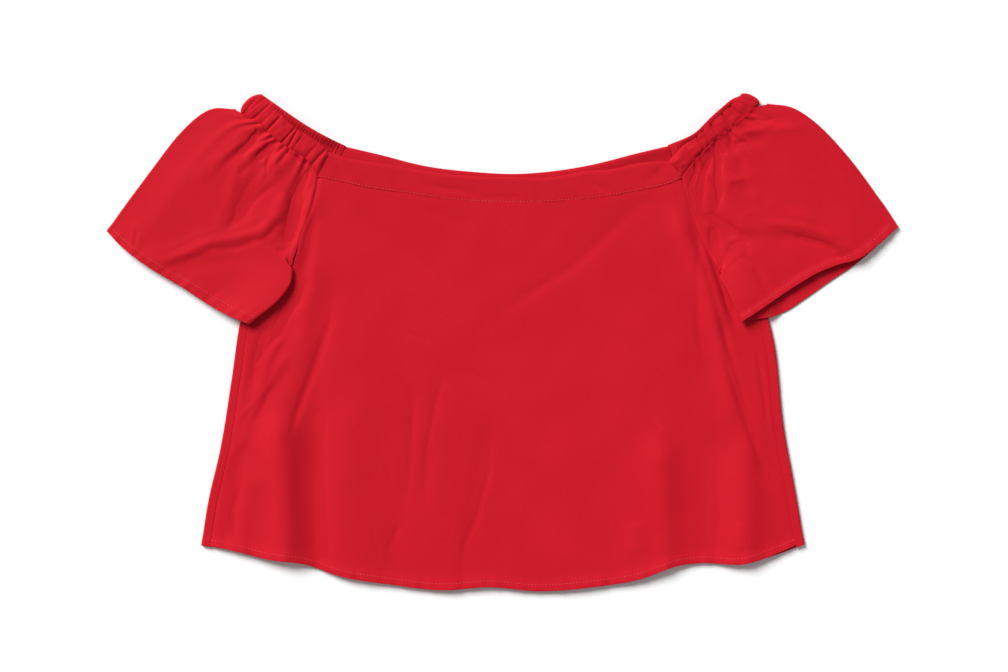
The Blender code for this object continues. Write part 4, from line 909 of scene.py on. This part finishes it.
def shown_side(surface, relief, half, u, v):
    """Points on the side of the cloth that shows, with the way that they face."""
    before_u, after_u = np.clip(u - NUDGE, 0, 1), np.clip(u + NUDGE, 0, 1)
    before_v, after_v = np.clip(v - NUDGE, 0, 1), np.clip(v + NUDGE, 0, 1)
    across = surface(after_u, v) - surface(before_u, v)
    down = surface(u, after_v) - surface(u, before_v)
    facing = unit(np.cross(down, across) / NUDGE**2)
    middle = surface(u, v)
    out = half + (relief(u, v, middle) if relief else 0.0)
    return middle + facing * np.asarray(out)[..., None], facing


def ring(values):
    """The border of a grid, once round."""
    return np.concatenate([values[0, :-1], values[:-1, -1], values[-1, :0:-1], values[:0:-1, 0]])


def ring_places(u, v):
    """Where each border point is on its way round, counted from 0 to 4 over the four sides."""
    top, side = u[0], v[:, 0]
    return np.concatenate([top[:-1], 1 + side[:-1], 2 + 1 - top[:0:-1], 3 + 1 - side[:0:-1]])


def quads(rows, columns_count, first):
    i, j = np.meshgrid(np.arange(rows - 1), np.arange(columns_count - 1), indexing="ij")
    a = first + i * columns_count + j
    return np.stack([a, a + 1, a + columns_count + 1, a + columns_count], -1).reshape(-1, 4)


def eased(count, size):
    """Shares of a side from 0 to 1, close together at both ends, so that an edge stays crisp."""
    rim = EDGE_STEP / size
    middle = np.linspace(3.0 * rim, 1.0 - 3.0 * rim, count - 4)
    return np.concatenate([[0.0, rim], middle, [1.0 - rim, 1.0]])


def cloth(
    name, surface, across, down, half, relief=None, upwards=1.0, shown=SHOWN_STEP, hidden=HIDDEN_STEP,
    inner_relief=None,
):
    """One cloth piece as a closed thin shell: fine on the side that shows, coarse on the other.
    across and down are its rough sizes, and upwards is -1 where its u and v run the other way."""
    wide, long = max(10, round(across / shown)), max(10, round(down / shown))
    u, v = np.meshgrid(eased(wide, across), eased(long, down))
    faced = lambda a, b, side, fn: shown_side(surface, fn, side * half, a, b)
    signed = (lambda a, b, m: upwards * relief(a, b, m)) if relief else None
    signed_in = (lambda a, b, m: -upwards * inner_relief(a, b, m)) if inner_relief else None
    outer, facing = faced(u, v, upwards, signed)
    wide_in, long_in = max(8, round(across / hidden)), max(8, round(down / hidden))
    u_in, v_in = np.meshgrid(eased(wide_in, across), eased(long_in, down))
    inner, _ = faced(u_in, v_in, -upwards, signed_in)

    rim_out = ring(outer)
    rim_facing = ring(facing) * upwards
    middle = surface(u, v)
    edge_out = np.zeros_like(outer)
    edge_out[0] += unit(middle[0] - middle[1])
    edge_out[-1] += unit(middle[-1] - middle[-2])
    edge_out[:, 0] += unit(middle[:, 0] - middle[:, 1])
    edge_out[:, -1] += unit(middle[:, -1] - middle[:, -2])
    rim_mid = rim_out - rim_facing * half + unit(ring(edge_out)) * half * 0.8

    n_out, n_rim = outer.size // 3, len(rim_mid)
    points = np.concatenate([outer.reshape(-1, 3), rim_mid, inner.reshape(-1, 3)])
    points[:, 2] = np.maximum(points[:, 2], LOWEST)
    first_in = n_out + n_rim
    faces = [quads(long, wide, 0), quads(long_in, wide_in, first_in)[:, ::-1]]
    ids_out = ring(np.arange(n_out).reshape(long, wide))
    ids_mid = n_out + np.arange(n_rim)
    ids_in = ring(first_in + np.arange(inner.size // 3).reshape(long_in, wide_in))
    after = np.roll(ids_out, -1)
    faces.append(np.stack([ids_out, ids_mid, np.roll(ids_mid, -1), after], -1))
    near = ring_places(u, v)
    far = ring_places(u_in, v_in)
    loop_near = list(ids_mid) + [ids_mid[0]]
    loop_far = list(ids_in) + [ids_in[0]]
    closing = np.array(zipped(loop_near, loop_far, list(near) + [4.0], list(far) + [4.0]))

    mesh = bpy.data.meshes.new(name)
    quad_faces = np.concatenate(faces)
    mesh.from_pydata(points * METRE, [], quad_faces.tolist() + closing.tolist())
    turn_out(mesh)
    mesh.shade_smooth()
    flat = mesh.uv_layers.new(name="cut")
    places = np.concatenate([
        np.stack([u * across, v * down], -1).reshape(-1, 2),
        np.stack([ring(u) * across, ring(v) * down], -1),
        np.stack([u_in * across, v_in * down], -1).reshape(-1, 2),
    ]) * METRE
    corners = np.empty(len(mesh.loops), int)
    mesh.loops.foreach_get("vertex_index", corners)
    flat.data.foreach_set("uv", places[corners].ravel())
    thing = bpy.data.objects.new(name, mesh)
    bpy.context.scene.collection.objects.link(thing)
    return thing


def turn_out(mesh):
    """Turns a closed mesh whose faces all point in."""
    mesh.calc_loop_triangles()
    points = np.empty(len(mesh.vertices) * 3)
    mesh.vertices.foreach_get("co", points)
    corners = np.empty(len(mesh.loop_triangles) * 3, int)
    mesh.loop_triangles.foreach_get("vertices", corners)
    a, b, c = (points.reshape(-1, 3)[corners.reshape(-1, 3)[:, k]] for k in range(3))
    if np.einsum("ij,ij->", a, np.cross(b, c)) < 0:
        mesh.flip_normals()


def zipped(first, second, u_first, u_second):
    """Triangles between two rows of points that need not be equally many."""
    i, j, faces = 0, 0, []
    while i < len(first) - 1 or j < len(second) - 1:
        first_left = i < len(first) - 1
        if j == len(second) - 1 or (first_left and u_first[i + 1] <= u_second[j + 1]):
            faces.append((first[i], second[j], first[i + 1]))
            i += 1
        else:
            faces.append((first[i], second[j], second[j + 1]))
            j += 1
    return faces


def stitch_tree():
    """Stitches along a path: each one a short rounded thread that lies on the cloth."""
    tree = bpy.data.node_groups.new("row_of_stitches", "GeometryNodeTree")
    sockets = {}
    for name, kind, value in (
        ("Path", "NodeSocketGeometry", None), ("Pitch", "NodeSocketFloat", 0.0026),
        ("Stitch Length", "NodeSocketFloat", 0.0019), ("Thread Width", "NodeSocketFloat", 0.00045),
        ("Thread", "NodeSocketMaterial", None),
    ):
        sockets[name] = tree.interface.new_socket(name, in_out="INPUT", socket_type=kind)
        if value is not None:
            sockets[name].default_value = value
    tree.interface.new_socket("Stitches", in_out="OUTPUT", socket_type="NodeSocketGeometry")

    def node(kind, **settings):
        made = tree.nodes.new(kind)
        for key, value in settings.items():
            setattr(made, key, value)
        return made

    def link(source, out, target, into):
        tree.links.new(source.outputs[out], target.inputs[into])

    given = node("NodeGroupInput")
    path = node("GeometryNodeMeshToCurve")
    evenly = node("GeometryNodeResampleCurve", mode="LENGTH")
    thread = node("GeometryNodeMeshUVSphere")
    thread.inputs["Segments"].default_value = 6
    thread.inputs["Rings"].default_value = 4
    thread.inputs["Radius"].default_value = 0.5
    size = node("ShaderNodeCombineXYZ")
    shape = node("GeometryNodeTransform")
    tangent = node("GeometryNodeInputTangent")
    turn = node("FunctionNodeAlignRotationToVector", axis="X")
    vary = node("FunctionNodeRandomValue", data_type="FLOAT")
    vary.inputs[2].default_value = 0.86
    vary.inputs[3].default_value = 1.08
    vary.inputs["Seed"].default_value = 7
    place = node("GeometryNodeInstanceOnPoints")
    real = node("GeometryNodeRealizeInstances")
    dyed = node("GeometryNodeSetMaterial")
    done = node("NodeGroupOutput")
    link(given, "Path", path, "Mesh")
    link(path, "Curve", evenly, "Curve")
    link(given, "Pitch", evenly, "Length")
    link(given, "Stitch Length", size, "X")
    link(given, "Thread Width", size, "Y")
    link(given, "Thread Width", size, "Z")
    link(thread, "Mesh", shape, "Geometry")
    link(size, "Vector", shape, "Scale")
    link(tangent, "Tangent", turn, "Vector")
    link(evenly, "Curve", place, "Points")
    link(shape, "Geometry", place, "Instance")
    link(turn, "Rotation", place, "Rotation")
    link(vary, 1, place, "Scale")
    link(place, "Instances", real, "Geometry")
    link(real, "Geometry", dyed, "Geometry")
    link(given, "Thread", dyed, "Material")
    link(dyed, "Geometry", done, "Stitches")
    return tree


def stitches(name, tree, paths, thread, pitch=3.1, length=2.2, width=0.48):
    """Rows of stitches along paths in millimetres, made by the tree and then kept as a mesh."""
    points, edges = [], []
    for path in paths:
        start = len(points)
        points += [tuple(p * METRE) for p in path]
        edges += [(start + k, start + k + 1) for k in range(len(path) - 1)]
    mesh = bpy.data.meshes.new(name)
    mesh.from_pydata(points, edges, [])
    thing = bpy.data.objects.new(name, mesh)
    bpy.context.scene.collection.objects.link(thing)
    sewing = thing.modifiers.new("sewing", "NODES")
    sewing.node_group = tree
    given = {
        "Pitch": pitch * METRE, "Stitch Length": length * METRE, "Thread Width": width * METRE,
        "Thread": thread,
    }
    for item in tree.interface.items_tree:
        if item.in_out == "INPUT" and item.name in given:
            sewing[item.identifier] = given[item.name]
    seen = thing.evaluated_get(bpy.context.evaluated_depsgraph_get())
    sewn = bpy.data.meshes.new_from_object(seen)
    thing.modifiers.remove(sewing)
    thing.data = sewn
    sewn.shade_smooth()
    return thing


def crepe(name, red, deeper, roughness, grain):
    """Matt viscose crepe: pebbled yarns, slightly uneven dye and a soft sheen."""
    made = bpy.data.materials.new(name)
    made.use_nodes = True
    tree = made.node_tree
    shader = tree.nodes["Principled BSDF"]
    shader.inputs["Roughness"].default_value = roughness
    shader.inputs["Specular IOR Level"].default_value = 0.12
    shader.inputs["Sheen Weight"].default_value = 0.06
    shader.inputs["Sheen Roughness"].default_value = 0.45
    shader.inputs["Sheen Tint"].default_value = (1.0, 0.42, 0.42, 1.0)

    def node(kind, **values):
        n = tree.nodes.new(kind)
        for key, value in values.items():
            n.inputs[key].default_value = value
        return n

    place = tree.nodes.new("ShaderNodeTexCoord")
    cut = tree.nodes.new("ShaderNodeUVMap")
    cut.uv_map = "cut"
    patches = node("ShaderNodeTexNoise", Scale=14.0, Detail=3.0, Roughness=0.55)
    streaks_place = tree.nodes.new("ShaderNodeMapping")
    streaks_place.inputs["Scale"].default_value = (900.0, 120.0, 1.0)
    slubs = node("ShaderNodeTexNoise", Scale=1.0, Detail=2.0, Roughness=0.5)
    pebble = node("ShaderNodeTexNoise", Scale=grain, Detail=3.0, Roughness=0.6)
    yarns = node("ShaderNodeTexVoronoi", Scale=grain * 1.3)
    tree.links.new(place.outputs["Object"], patches.inputs["Vector"])
    tree.links.new(cut.outputs["UV"], streaks_place.inputs["Vector"])
    tree.links.new(streaks_place.outputs["Vector"], slubs.inputs["Vector"])
    tree.links.new(place.outputs["Object"], pebble.inputs["Vector"])
    tree.links.new(place.outputs["Object"], yarns.inputs["Vector"])

    tones = tree.nodes.new("ShaderNodeMix")
    tones.data_type = "RGBA"
    tones.inputs[6].default_value = (*deeper, 1.0)
    tones.inputs[7].default_value = (*red, 1.0)
    spread = tree.nodes.new("ShaderNodeMapRange")
    spread.inputs["From Min"].default_value = 0.3
    spread.inputs["From Max"].default_value = 0.7
    tree.links.new(patches.outputs["Fac"], spread.inputs["Value"])
    tree.links.new(spread.outputs["Result"], tones.inputs["Factor"])
    fibre = tree.nodes.new("ShaderNodeMix")
    fibre.data_type = "RGBA"
    fibre.blend_type = "MULTIPLY"
    fibre.inputs["Factor"].default_value = 0.08
    tree.links.new(tones.outputs[2], fibre.inputs[6])
    grey = tree.nodes.new("ShaderNodeMapRange")
    grey.inputs["From Min"].default_value = 0.35
    grey.inputs["From Max"].default_value = 0.65
    grey.inputs["To Min"].default_value = 0.75
    grey.inputs["To Max"].default_value = 1.25
    tree.links.new(slubs.outputs["Fac"], grey.inputs["Value"])
    tree.links.new(grey.outputs["Result"], fibre.inputs[7])
    tree.links.new(fibre.outputs[2], shader.inputs["Base Color"])

    height = tree.nodes.new("ShaderNodeMath")
    height.operation = "ADD"
    bump = node("ShaderNodeBump", Strength=0.35, Distance=0.00025)
    tree.links.new(pebble.outputs["Fac"], height.inputs[0])
    tree.links.new(yarns.outputs["Distance"], height.inputs[1])
    tree.links.new(height.outputs["Value"], bump.inputs["Height"])
    tree.links.new(bump.outputs["Normal"], shader.inputs["Normal"])
    return made


def thread_material():
    """Polyester sewing thread, a little brighter than the cloth, with its twist."""
    made = bpy.data.materials.new("red_thread")
    made.use_nodes = True
    tree = made.node_tree
    shader = tree.nodes["Principled BSDF"]
    shader.inputs["Roughness"].default_value = 0.5
    place = tree.nodes.new("ShaderNodeTexCoord")
    twist = tree.nodes.new("ShaderNodeTexWave")
    twist.inputs["Scale"].default_value = 900.0
    twist.inputs["Distortion"].default_value = 2.0
    ramp = tree.nodes.new("ShaderNodeMix")
    ramp.data_type = "RGBA"
    ramp.inputs[6].default_value = (0.60, 0.03, 0.045, 1.0)
    ramp.inputs[7].default_value = (0.78, 0.09, 0.11, 1.0)
    tree.links.new(place.outputs["Object"], twist.inputs["Vector"])
    tree.links.new(twist.outputs["Fac"], ramp.inputs["Factor"])
    tree.links.new(ramp.outputs[2], shader.inputs["Base Color"])
    return made


HEM_LINE = curve(HEM)(np.linspace(0.0, 1.0, 200))


def seam_roll(away, depth=0.55, width=1.8):
    """How an edge rolls down into the seam that it is sewn into."""
    return -depth * np.exp(-((np.maximum(away, 0.0) / width) ** 2))


def front_panel_relief(u, v, middle):
    x, y = middle[..., 0], middle[..., 1]
    away = y - np.interp(x, HEM_LINE[:, 0], HEM_LINE[:, 1])
    height = 1.3 * creases(BODY_CREASES, x, y) + folds(BODY_DRAPE, x, y) + slack(x, y, 11, 150.0, 26.0, 0.3)
    above = middle[..., 2] + height - PANEL_BOTTOM
    height = PANEL_BOTTOM - middle[..., 2] + (above + np.hypot(above, 0.6)) / 2
    inside = smooth(np.minimum(u, 1.0 - u) / 0.012)
    from_side = np.minimum(x - edge_x(LEFT_EDGE, y), edge_x(RIGHT_EDGE, y) - x)
    wrap = SIDE_WRAP * smooth((UNDERARM_Y - y) / WRAP_START)
    sewn = seam_roll(from_side - wrap, 0.55 - 0.02 * wrap) + 0.2 * seam_roll(v * 350.0)
    return height * inside + creases(SEAM_LIFTS, x, y) + sewn + hem_relief(away, x, HEM_DEPTH, HEM_STITCH_LINE, 21)


def back_panel_relief(u, v, middle):
    x, y = middle[..., 0], middle[..., 1]
    away = y - np.interp(x, HEM_LINE[:, 0], HEM_LINE[:, 1]) + BACK_HEM_UP
    return 0.15 * np.tanh(slack(x, y, 12, 150.0, 26.0, 0.6)) + 0.3 * hem_relief(
        away, x, HEM_DEPTH, HEM_STITCH_LINE, 22
    )


def band_relief(u, v, middle):
    x, y = middle[..., 0], middle[..., 1]
    rounded = -0.45 * np.exp(-((v / 0.05) ** 2)) - 0.12 * np.exp(-(((1.0 - v) / 0.03) ** 2))
    sunk = -0.12 * np.exp(-(((v - BAND_STITCH_ROW) / 0.035) ** 2))
    pucker = 0.06 * np.sin(2 * math.pi * x / 8.7) * smooth((v - 0.6) / 0.4)
    return creases(BAND_CREASES, x, y) + slack(x, y, 31, 60.0, 12.0, 0.14) + rounded + sunk + pucker


def back_band_relief(u, v, middle):
    x, y = middle[..., 0], middle[..., 1]
    raised = 2.4 * np.exp(-((v / 0.4) ** 2)) * smooth((x - 40.0) / 90.0)
    return slack(x, y, 32, 50.0, 12.0, 0.12) - 0.4 * np.exp(-((v / 0.06) ** 2)) + raised


BAND_STITCH_ROW = 0.955
BACK_CRINKLES = 34


def curl(u, v):
    """How far the casing's back edge stands up from the surface behind the neck."""
    return 5.8 * np.exp(-((v / 0.3) ** 2)) * smooth((u - CASING_TURN[1]) / 0.08) * smooth((1.0 - u) / 0.12)


def casing_relief(side):
    """The casing's face on the front: puffed between its pleats, and rounded at both edges."""
    table = CASING_CREASES[side]

    def relief(u, v, middle):
        x, y = middle[..., 0], middle[..., 1]
        in_front = smooth((CASING_TURN[0] + 0.01 - u) / 0.03)
        rounded = -0.9 * np.abs(2.0 * v - 1.0) ** 5
        front = (1.35 * creases(table, x, y) + slack(x, y, 41, 22.0, 6.0, 0.38)) * in_front
        ends = 1.1 * seam_roll(u * 200.0, 0.9, 2.6)
        return front + rounded - 0.6 * np.clip(2.0 * v - 1.0, 0.0, 1.0) ** 3 * in_front - curl(u, v) + ends
    return relief


def crinkled(side):
    """The casing's inner face behind the neck, scrunched tight by the elastic."""
    def relief(u, v, middle):
        behind = smooth((u - CASING_TURN[1]) / 0.03)
        s = (u - CASING_TURN[1]) / (1.0 - CASING_TURN[1])
        bent = s + 0.006 * np.sin(2 * math.pi * 5 * s) + 0.004 * np.sin(2 * math.pi * (11 * s + v))
        crinkles = np.abs(np.sin(math.pi * BACK_CRINKLES * bent)) ** 0.7 - 0.75
        under = 1.1 * np.abs(2.0 * v - 1.0) ** 4 * smooth((CASING_TURN[0] - 0.02 - u) / 0.05)
        return 0.95 * crinkles * behind - 0.4 * np.abs(2.0 * v - 1.0) ** 5 * behind + under + curl(u, v)
    return relief


def sleeve_relief(side):
    table = SLEEVE_CREASES[side]
    cuff = SIDES[side]["cuff_front"]

    def relief(u, v, middle):
        x, y = middle[..., 0], middle[..., 1]
        turned_in = smooth((u - UPPER_TO) / 0.05) * smooth((v - OVERHANG_START) / 0.06)
        over = smooth((u - FOLD_TO) / 0.03) * (1.0 - turned_in) * smooth((1.0 - u) / 0.12)
        under = 1.0 - over
        height = creases(table, x, y) + slack(x, y, 51, 90.0, 14.0, 0.3)
        away = (1.0 - v) * 190.0
        hem = hem_relief(away, u * 500.0, SLEEVE_HEM_DEPTH, SLEEVE_HEM_LINE, 52)
        at_seam = seam_roll((1.0 - u) / (1.0 - UPPER_TO) * 8.0) * smooth((OVERHANG_START - v) / 0.06)
        at_head = -seam_roll(v * 190.0, 0.6, 3.0) * over
        shown_height = height * over + 0.15 * np.tanh(height) * under
        lifted = creases(SEAM_LIFTS, x, y) * smooth((u - FOLD_TO) / 0.03) * (1.0 - turned_in)
        return shown_height + lifted + hem * (0.3 + 0.7 * over) + at_seam + at_head
    return relief


def line_on(surface, relief, half, upwards, us, vs, lifted=0.12):
    """Points of a path on the side of the cloth that shows."""
    signed = (lambda a, b, m: upwards * relief(a, b, m)) if relief else None
    points, facing = shown_side(surface, signed, upwards * half, us, vs)
    return points + facing * upwards * lifted


def dress():
    red, deeper = (0.585, 0.0068, 0.019), (0.555, 0.0055, 0.0165)
    panel_cloth = crepe("panel_crepe", red, deeper, 0.74, 1500.0)
    sleeve_cloth = crepe("sleeve_crepe", red, deeper, 0.72, 1500.0)
    band_cloth = crepe("band_crepe", (0.57, 0.0068, 0.0185), (0.54, 0.0055, 0.0165), 0.76, 1600.0)
    casing_cloth = crepe("casing_crepe", (0.57, 0.0068, 0.0185), (0.52, 0.005, 0.0155), 0.76, 1600.0)
    thread = thread_material()
    tree = stitch_tree()
    made = {}

    def keep(thing, slot, *nodes):
        if nodes:
            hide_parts(*nodes)
        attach(thing, "root")
        made[thing.name] = thing
        return thing

    surface = front_panel()
    panel = cloth("front_cloth", surface, 540, 350, CREPE / 2, front_panel_relief, upwards=TOP_UP["front"])
    panel.data.materials.append(panel_cloth)
    keep(panel, "front_cloth", "front_panel")
    us = np.linspace(0.004, 0.996, 500)
    hem_rows = [line_on(surface, front_panel_relief, CREPE / 2, TOP_UP["front"], us, np.full_like(us, 1.0 - HEM_STITCH_LINE / 350.0))]
    hem = stitches("hem_stitches", tree, hem_rows, thread)
    keep(hem, "front_cloth")

    surface = back_panel()
    back = cloth("back_cloth", surface, 560, 360, CREPE / 2, back_panel_relief, upwards=TOP_UP["back"], shown=2.6)
    back.data.materials.append(panel_cloth)
    keep(back, "back_cloth", "back_panel")

    surface = neck_band_front()
    band = cloth("band_cloth_front", surface, 330, 23, BAND_CREPE / 2, band_relief, upwards=TOP_UP["band"], shown=1.0)
    band.data.materials.append(band_cloth)
    keep(band, "band_cloth", "neck_band_front")
    us = np.linspace(0.01, 0.99, 300)
    rows = [line_on(surface, band_relief, BAND_CREPE / 2, TOP_UP["band"], us, np.full_like(us, BAND_STITCH_ROW))]
    band_rows = stitches("band_stitches", tree, rows, thread)
    keep(band_rows, "band_cloth")

    surface = neck_band_back()
    back_band = cloth("band_cloth_back", surface, 310, 20, BAND_CREPE / 2, back_band_relief, upwards=TOP_UP["band"], shown=1.0)
    back_band.data.materials.append(band_cloth)
    keep(back_band, "band_cloth", "neck_band_back")

    for side, facts in SIDES.items():
        up = 1.0 if side == "left" else -1.0
        surface, _ = casing(facts["casing_front"], facts["casing_back"], facts["bulge"])
        strip = cloth(
            f"casing_cloth_{side}", surface, 200, 26, CASING_CREPE / 2, casing_relief(side),
            upwards=-up, shown=0.8, hidden=0.8, inner_relief=crinkled(side),
        )
        strip.data.materials.append(casing_cloth)
        keep(strip, "casing_cloth", f"sleeve_casing_{side}")
        surface = sleeve(facts)
        relief = sleeve_relief(side)
        sleeve_piece = cloth(
            f"sleeve_cloth_{side}", surface, 480, 190, CREPE / 2, relief,
            upwards=up * TOP_UP["sleeve"], shown=1.5, hidden=6.0,
        )
        sleeve_piece.data.materials.append(sleeve_cloth)
        keep(sleeve_piece, "sleeve_cloth", f"sleeve_{side}")
        rows = []
        for start, stop in ((0.01, BACK_TO - 0.01), (FOLD_TO + 0.01, UPPER_TO - 0.005)):
            us = np.linspace(start, stop, 200)
            vs = np.full_like(us, 1.0 - SLEEVE_HEM_LINE / 190.0)
            rows.append(line_on(surface, relief, CREPE / 2, up * TOP_UP["sleeve"], us, vs))
        sewn = stitches(f"cuff_stitches_{side}", tree, rows, thread)
        keep(sewn, "sleeve_cloth")
    return made


TOP_UP = {"front": 1.0, "back": -1.0, "band": 1.0, "casing": 1.0, "sleeve": 1.0}


def studio():
    scene = bpy.context.scene
    scene.view_settings.view_transform = "Standard"
    scene.view_settings.look = "None"
    floor_mesh = bpy.data.meshes.new("floor")
    floor_mesh.from_pydata(
        [(-3, -3, -0.0004), (3, -3, -0.0004), (3, 3, -0.0004), (-3, 3, -0.0004)], [], [(0, 1, 2, 3)]
    )
    floor = bpy.data.objects.new("floor", floor_mesh)
    scene.collection.objects.link(floor)
    paper = bpy.data.materials.new("paper_floor")
    paper.use_nodes = True
    shader = paper.node_tree.nodes["Principled BSDF"]
    shader.inputs["Base Color"].default_value = (0.965, 0.965, 0.965, 1.0)
    shader.inputs["Roughness"].default_value = 0.9
    shader.inputs["Specular IOR Level"].default_value = 0.1
    floor_mesh.materials.append(paper)

    world = bpy.data.worlds.new("studio")
    scene.world = world
    world.use_nodes = True
    world.node_tree.nodes["Background"].inputs["Color"].default_value = (1.0, 1.0, 1.0, 1.0)
    world.node_tree.nodes["Background"].inputs["Strength"].default_value = 0.28

    lamp = bpy.data.lights.new("key_softbox", "SUN")
    lamp.energy = 4.1
    lamp.angle = math.radians(30.0)
    key = bpy.data.objects.new("key_softbox", lamp)
    scene.collection.objects.link(key)
    key.location = (-1.6, 1.75, 1.8)
    key.rotation_euler = Vector((1.6, -1.75, -1.8)).to_track_quat("-Z", "Y").to_euler()

    camera = bpy.data.cameras.new("camera")
    camera.lens = 85.0
    camera.sensor_width = 36.0
    eye = bpy.data.objects.new("camera", camera)
    scene.collection.objects.link(eye)
    view_width = 0.9072
    eye.location = (0.00135, 0.0054, 0.004 + view_width * camera.lens / camera.sensor_width)
    eye.rotation_euler = (0.0, 0.0, 0.0)
    camera.clip_end = 20.0
    scene.camera = eye


made = dress()
studio()
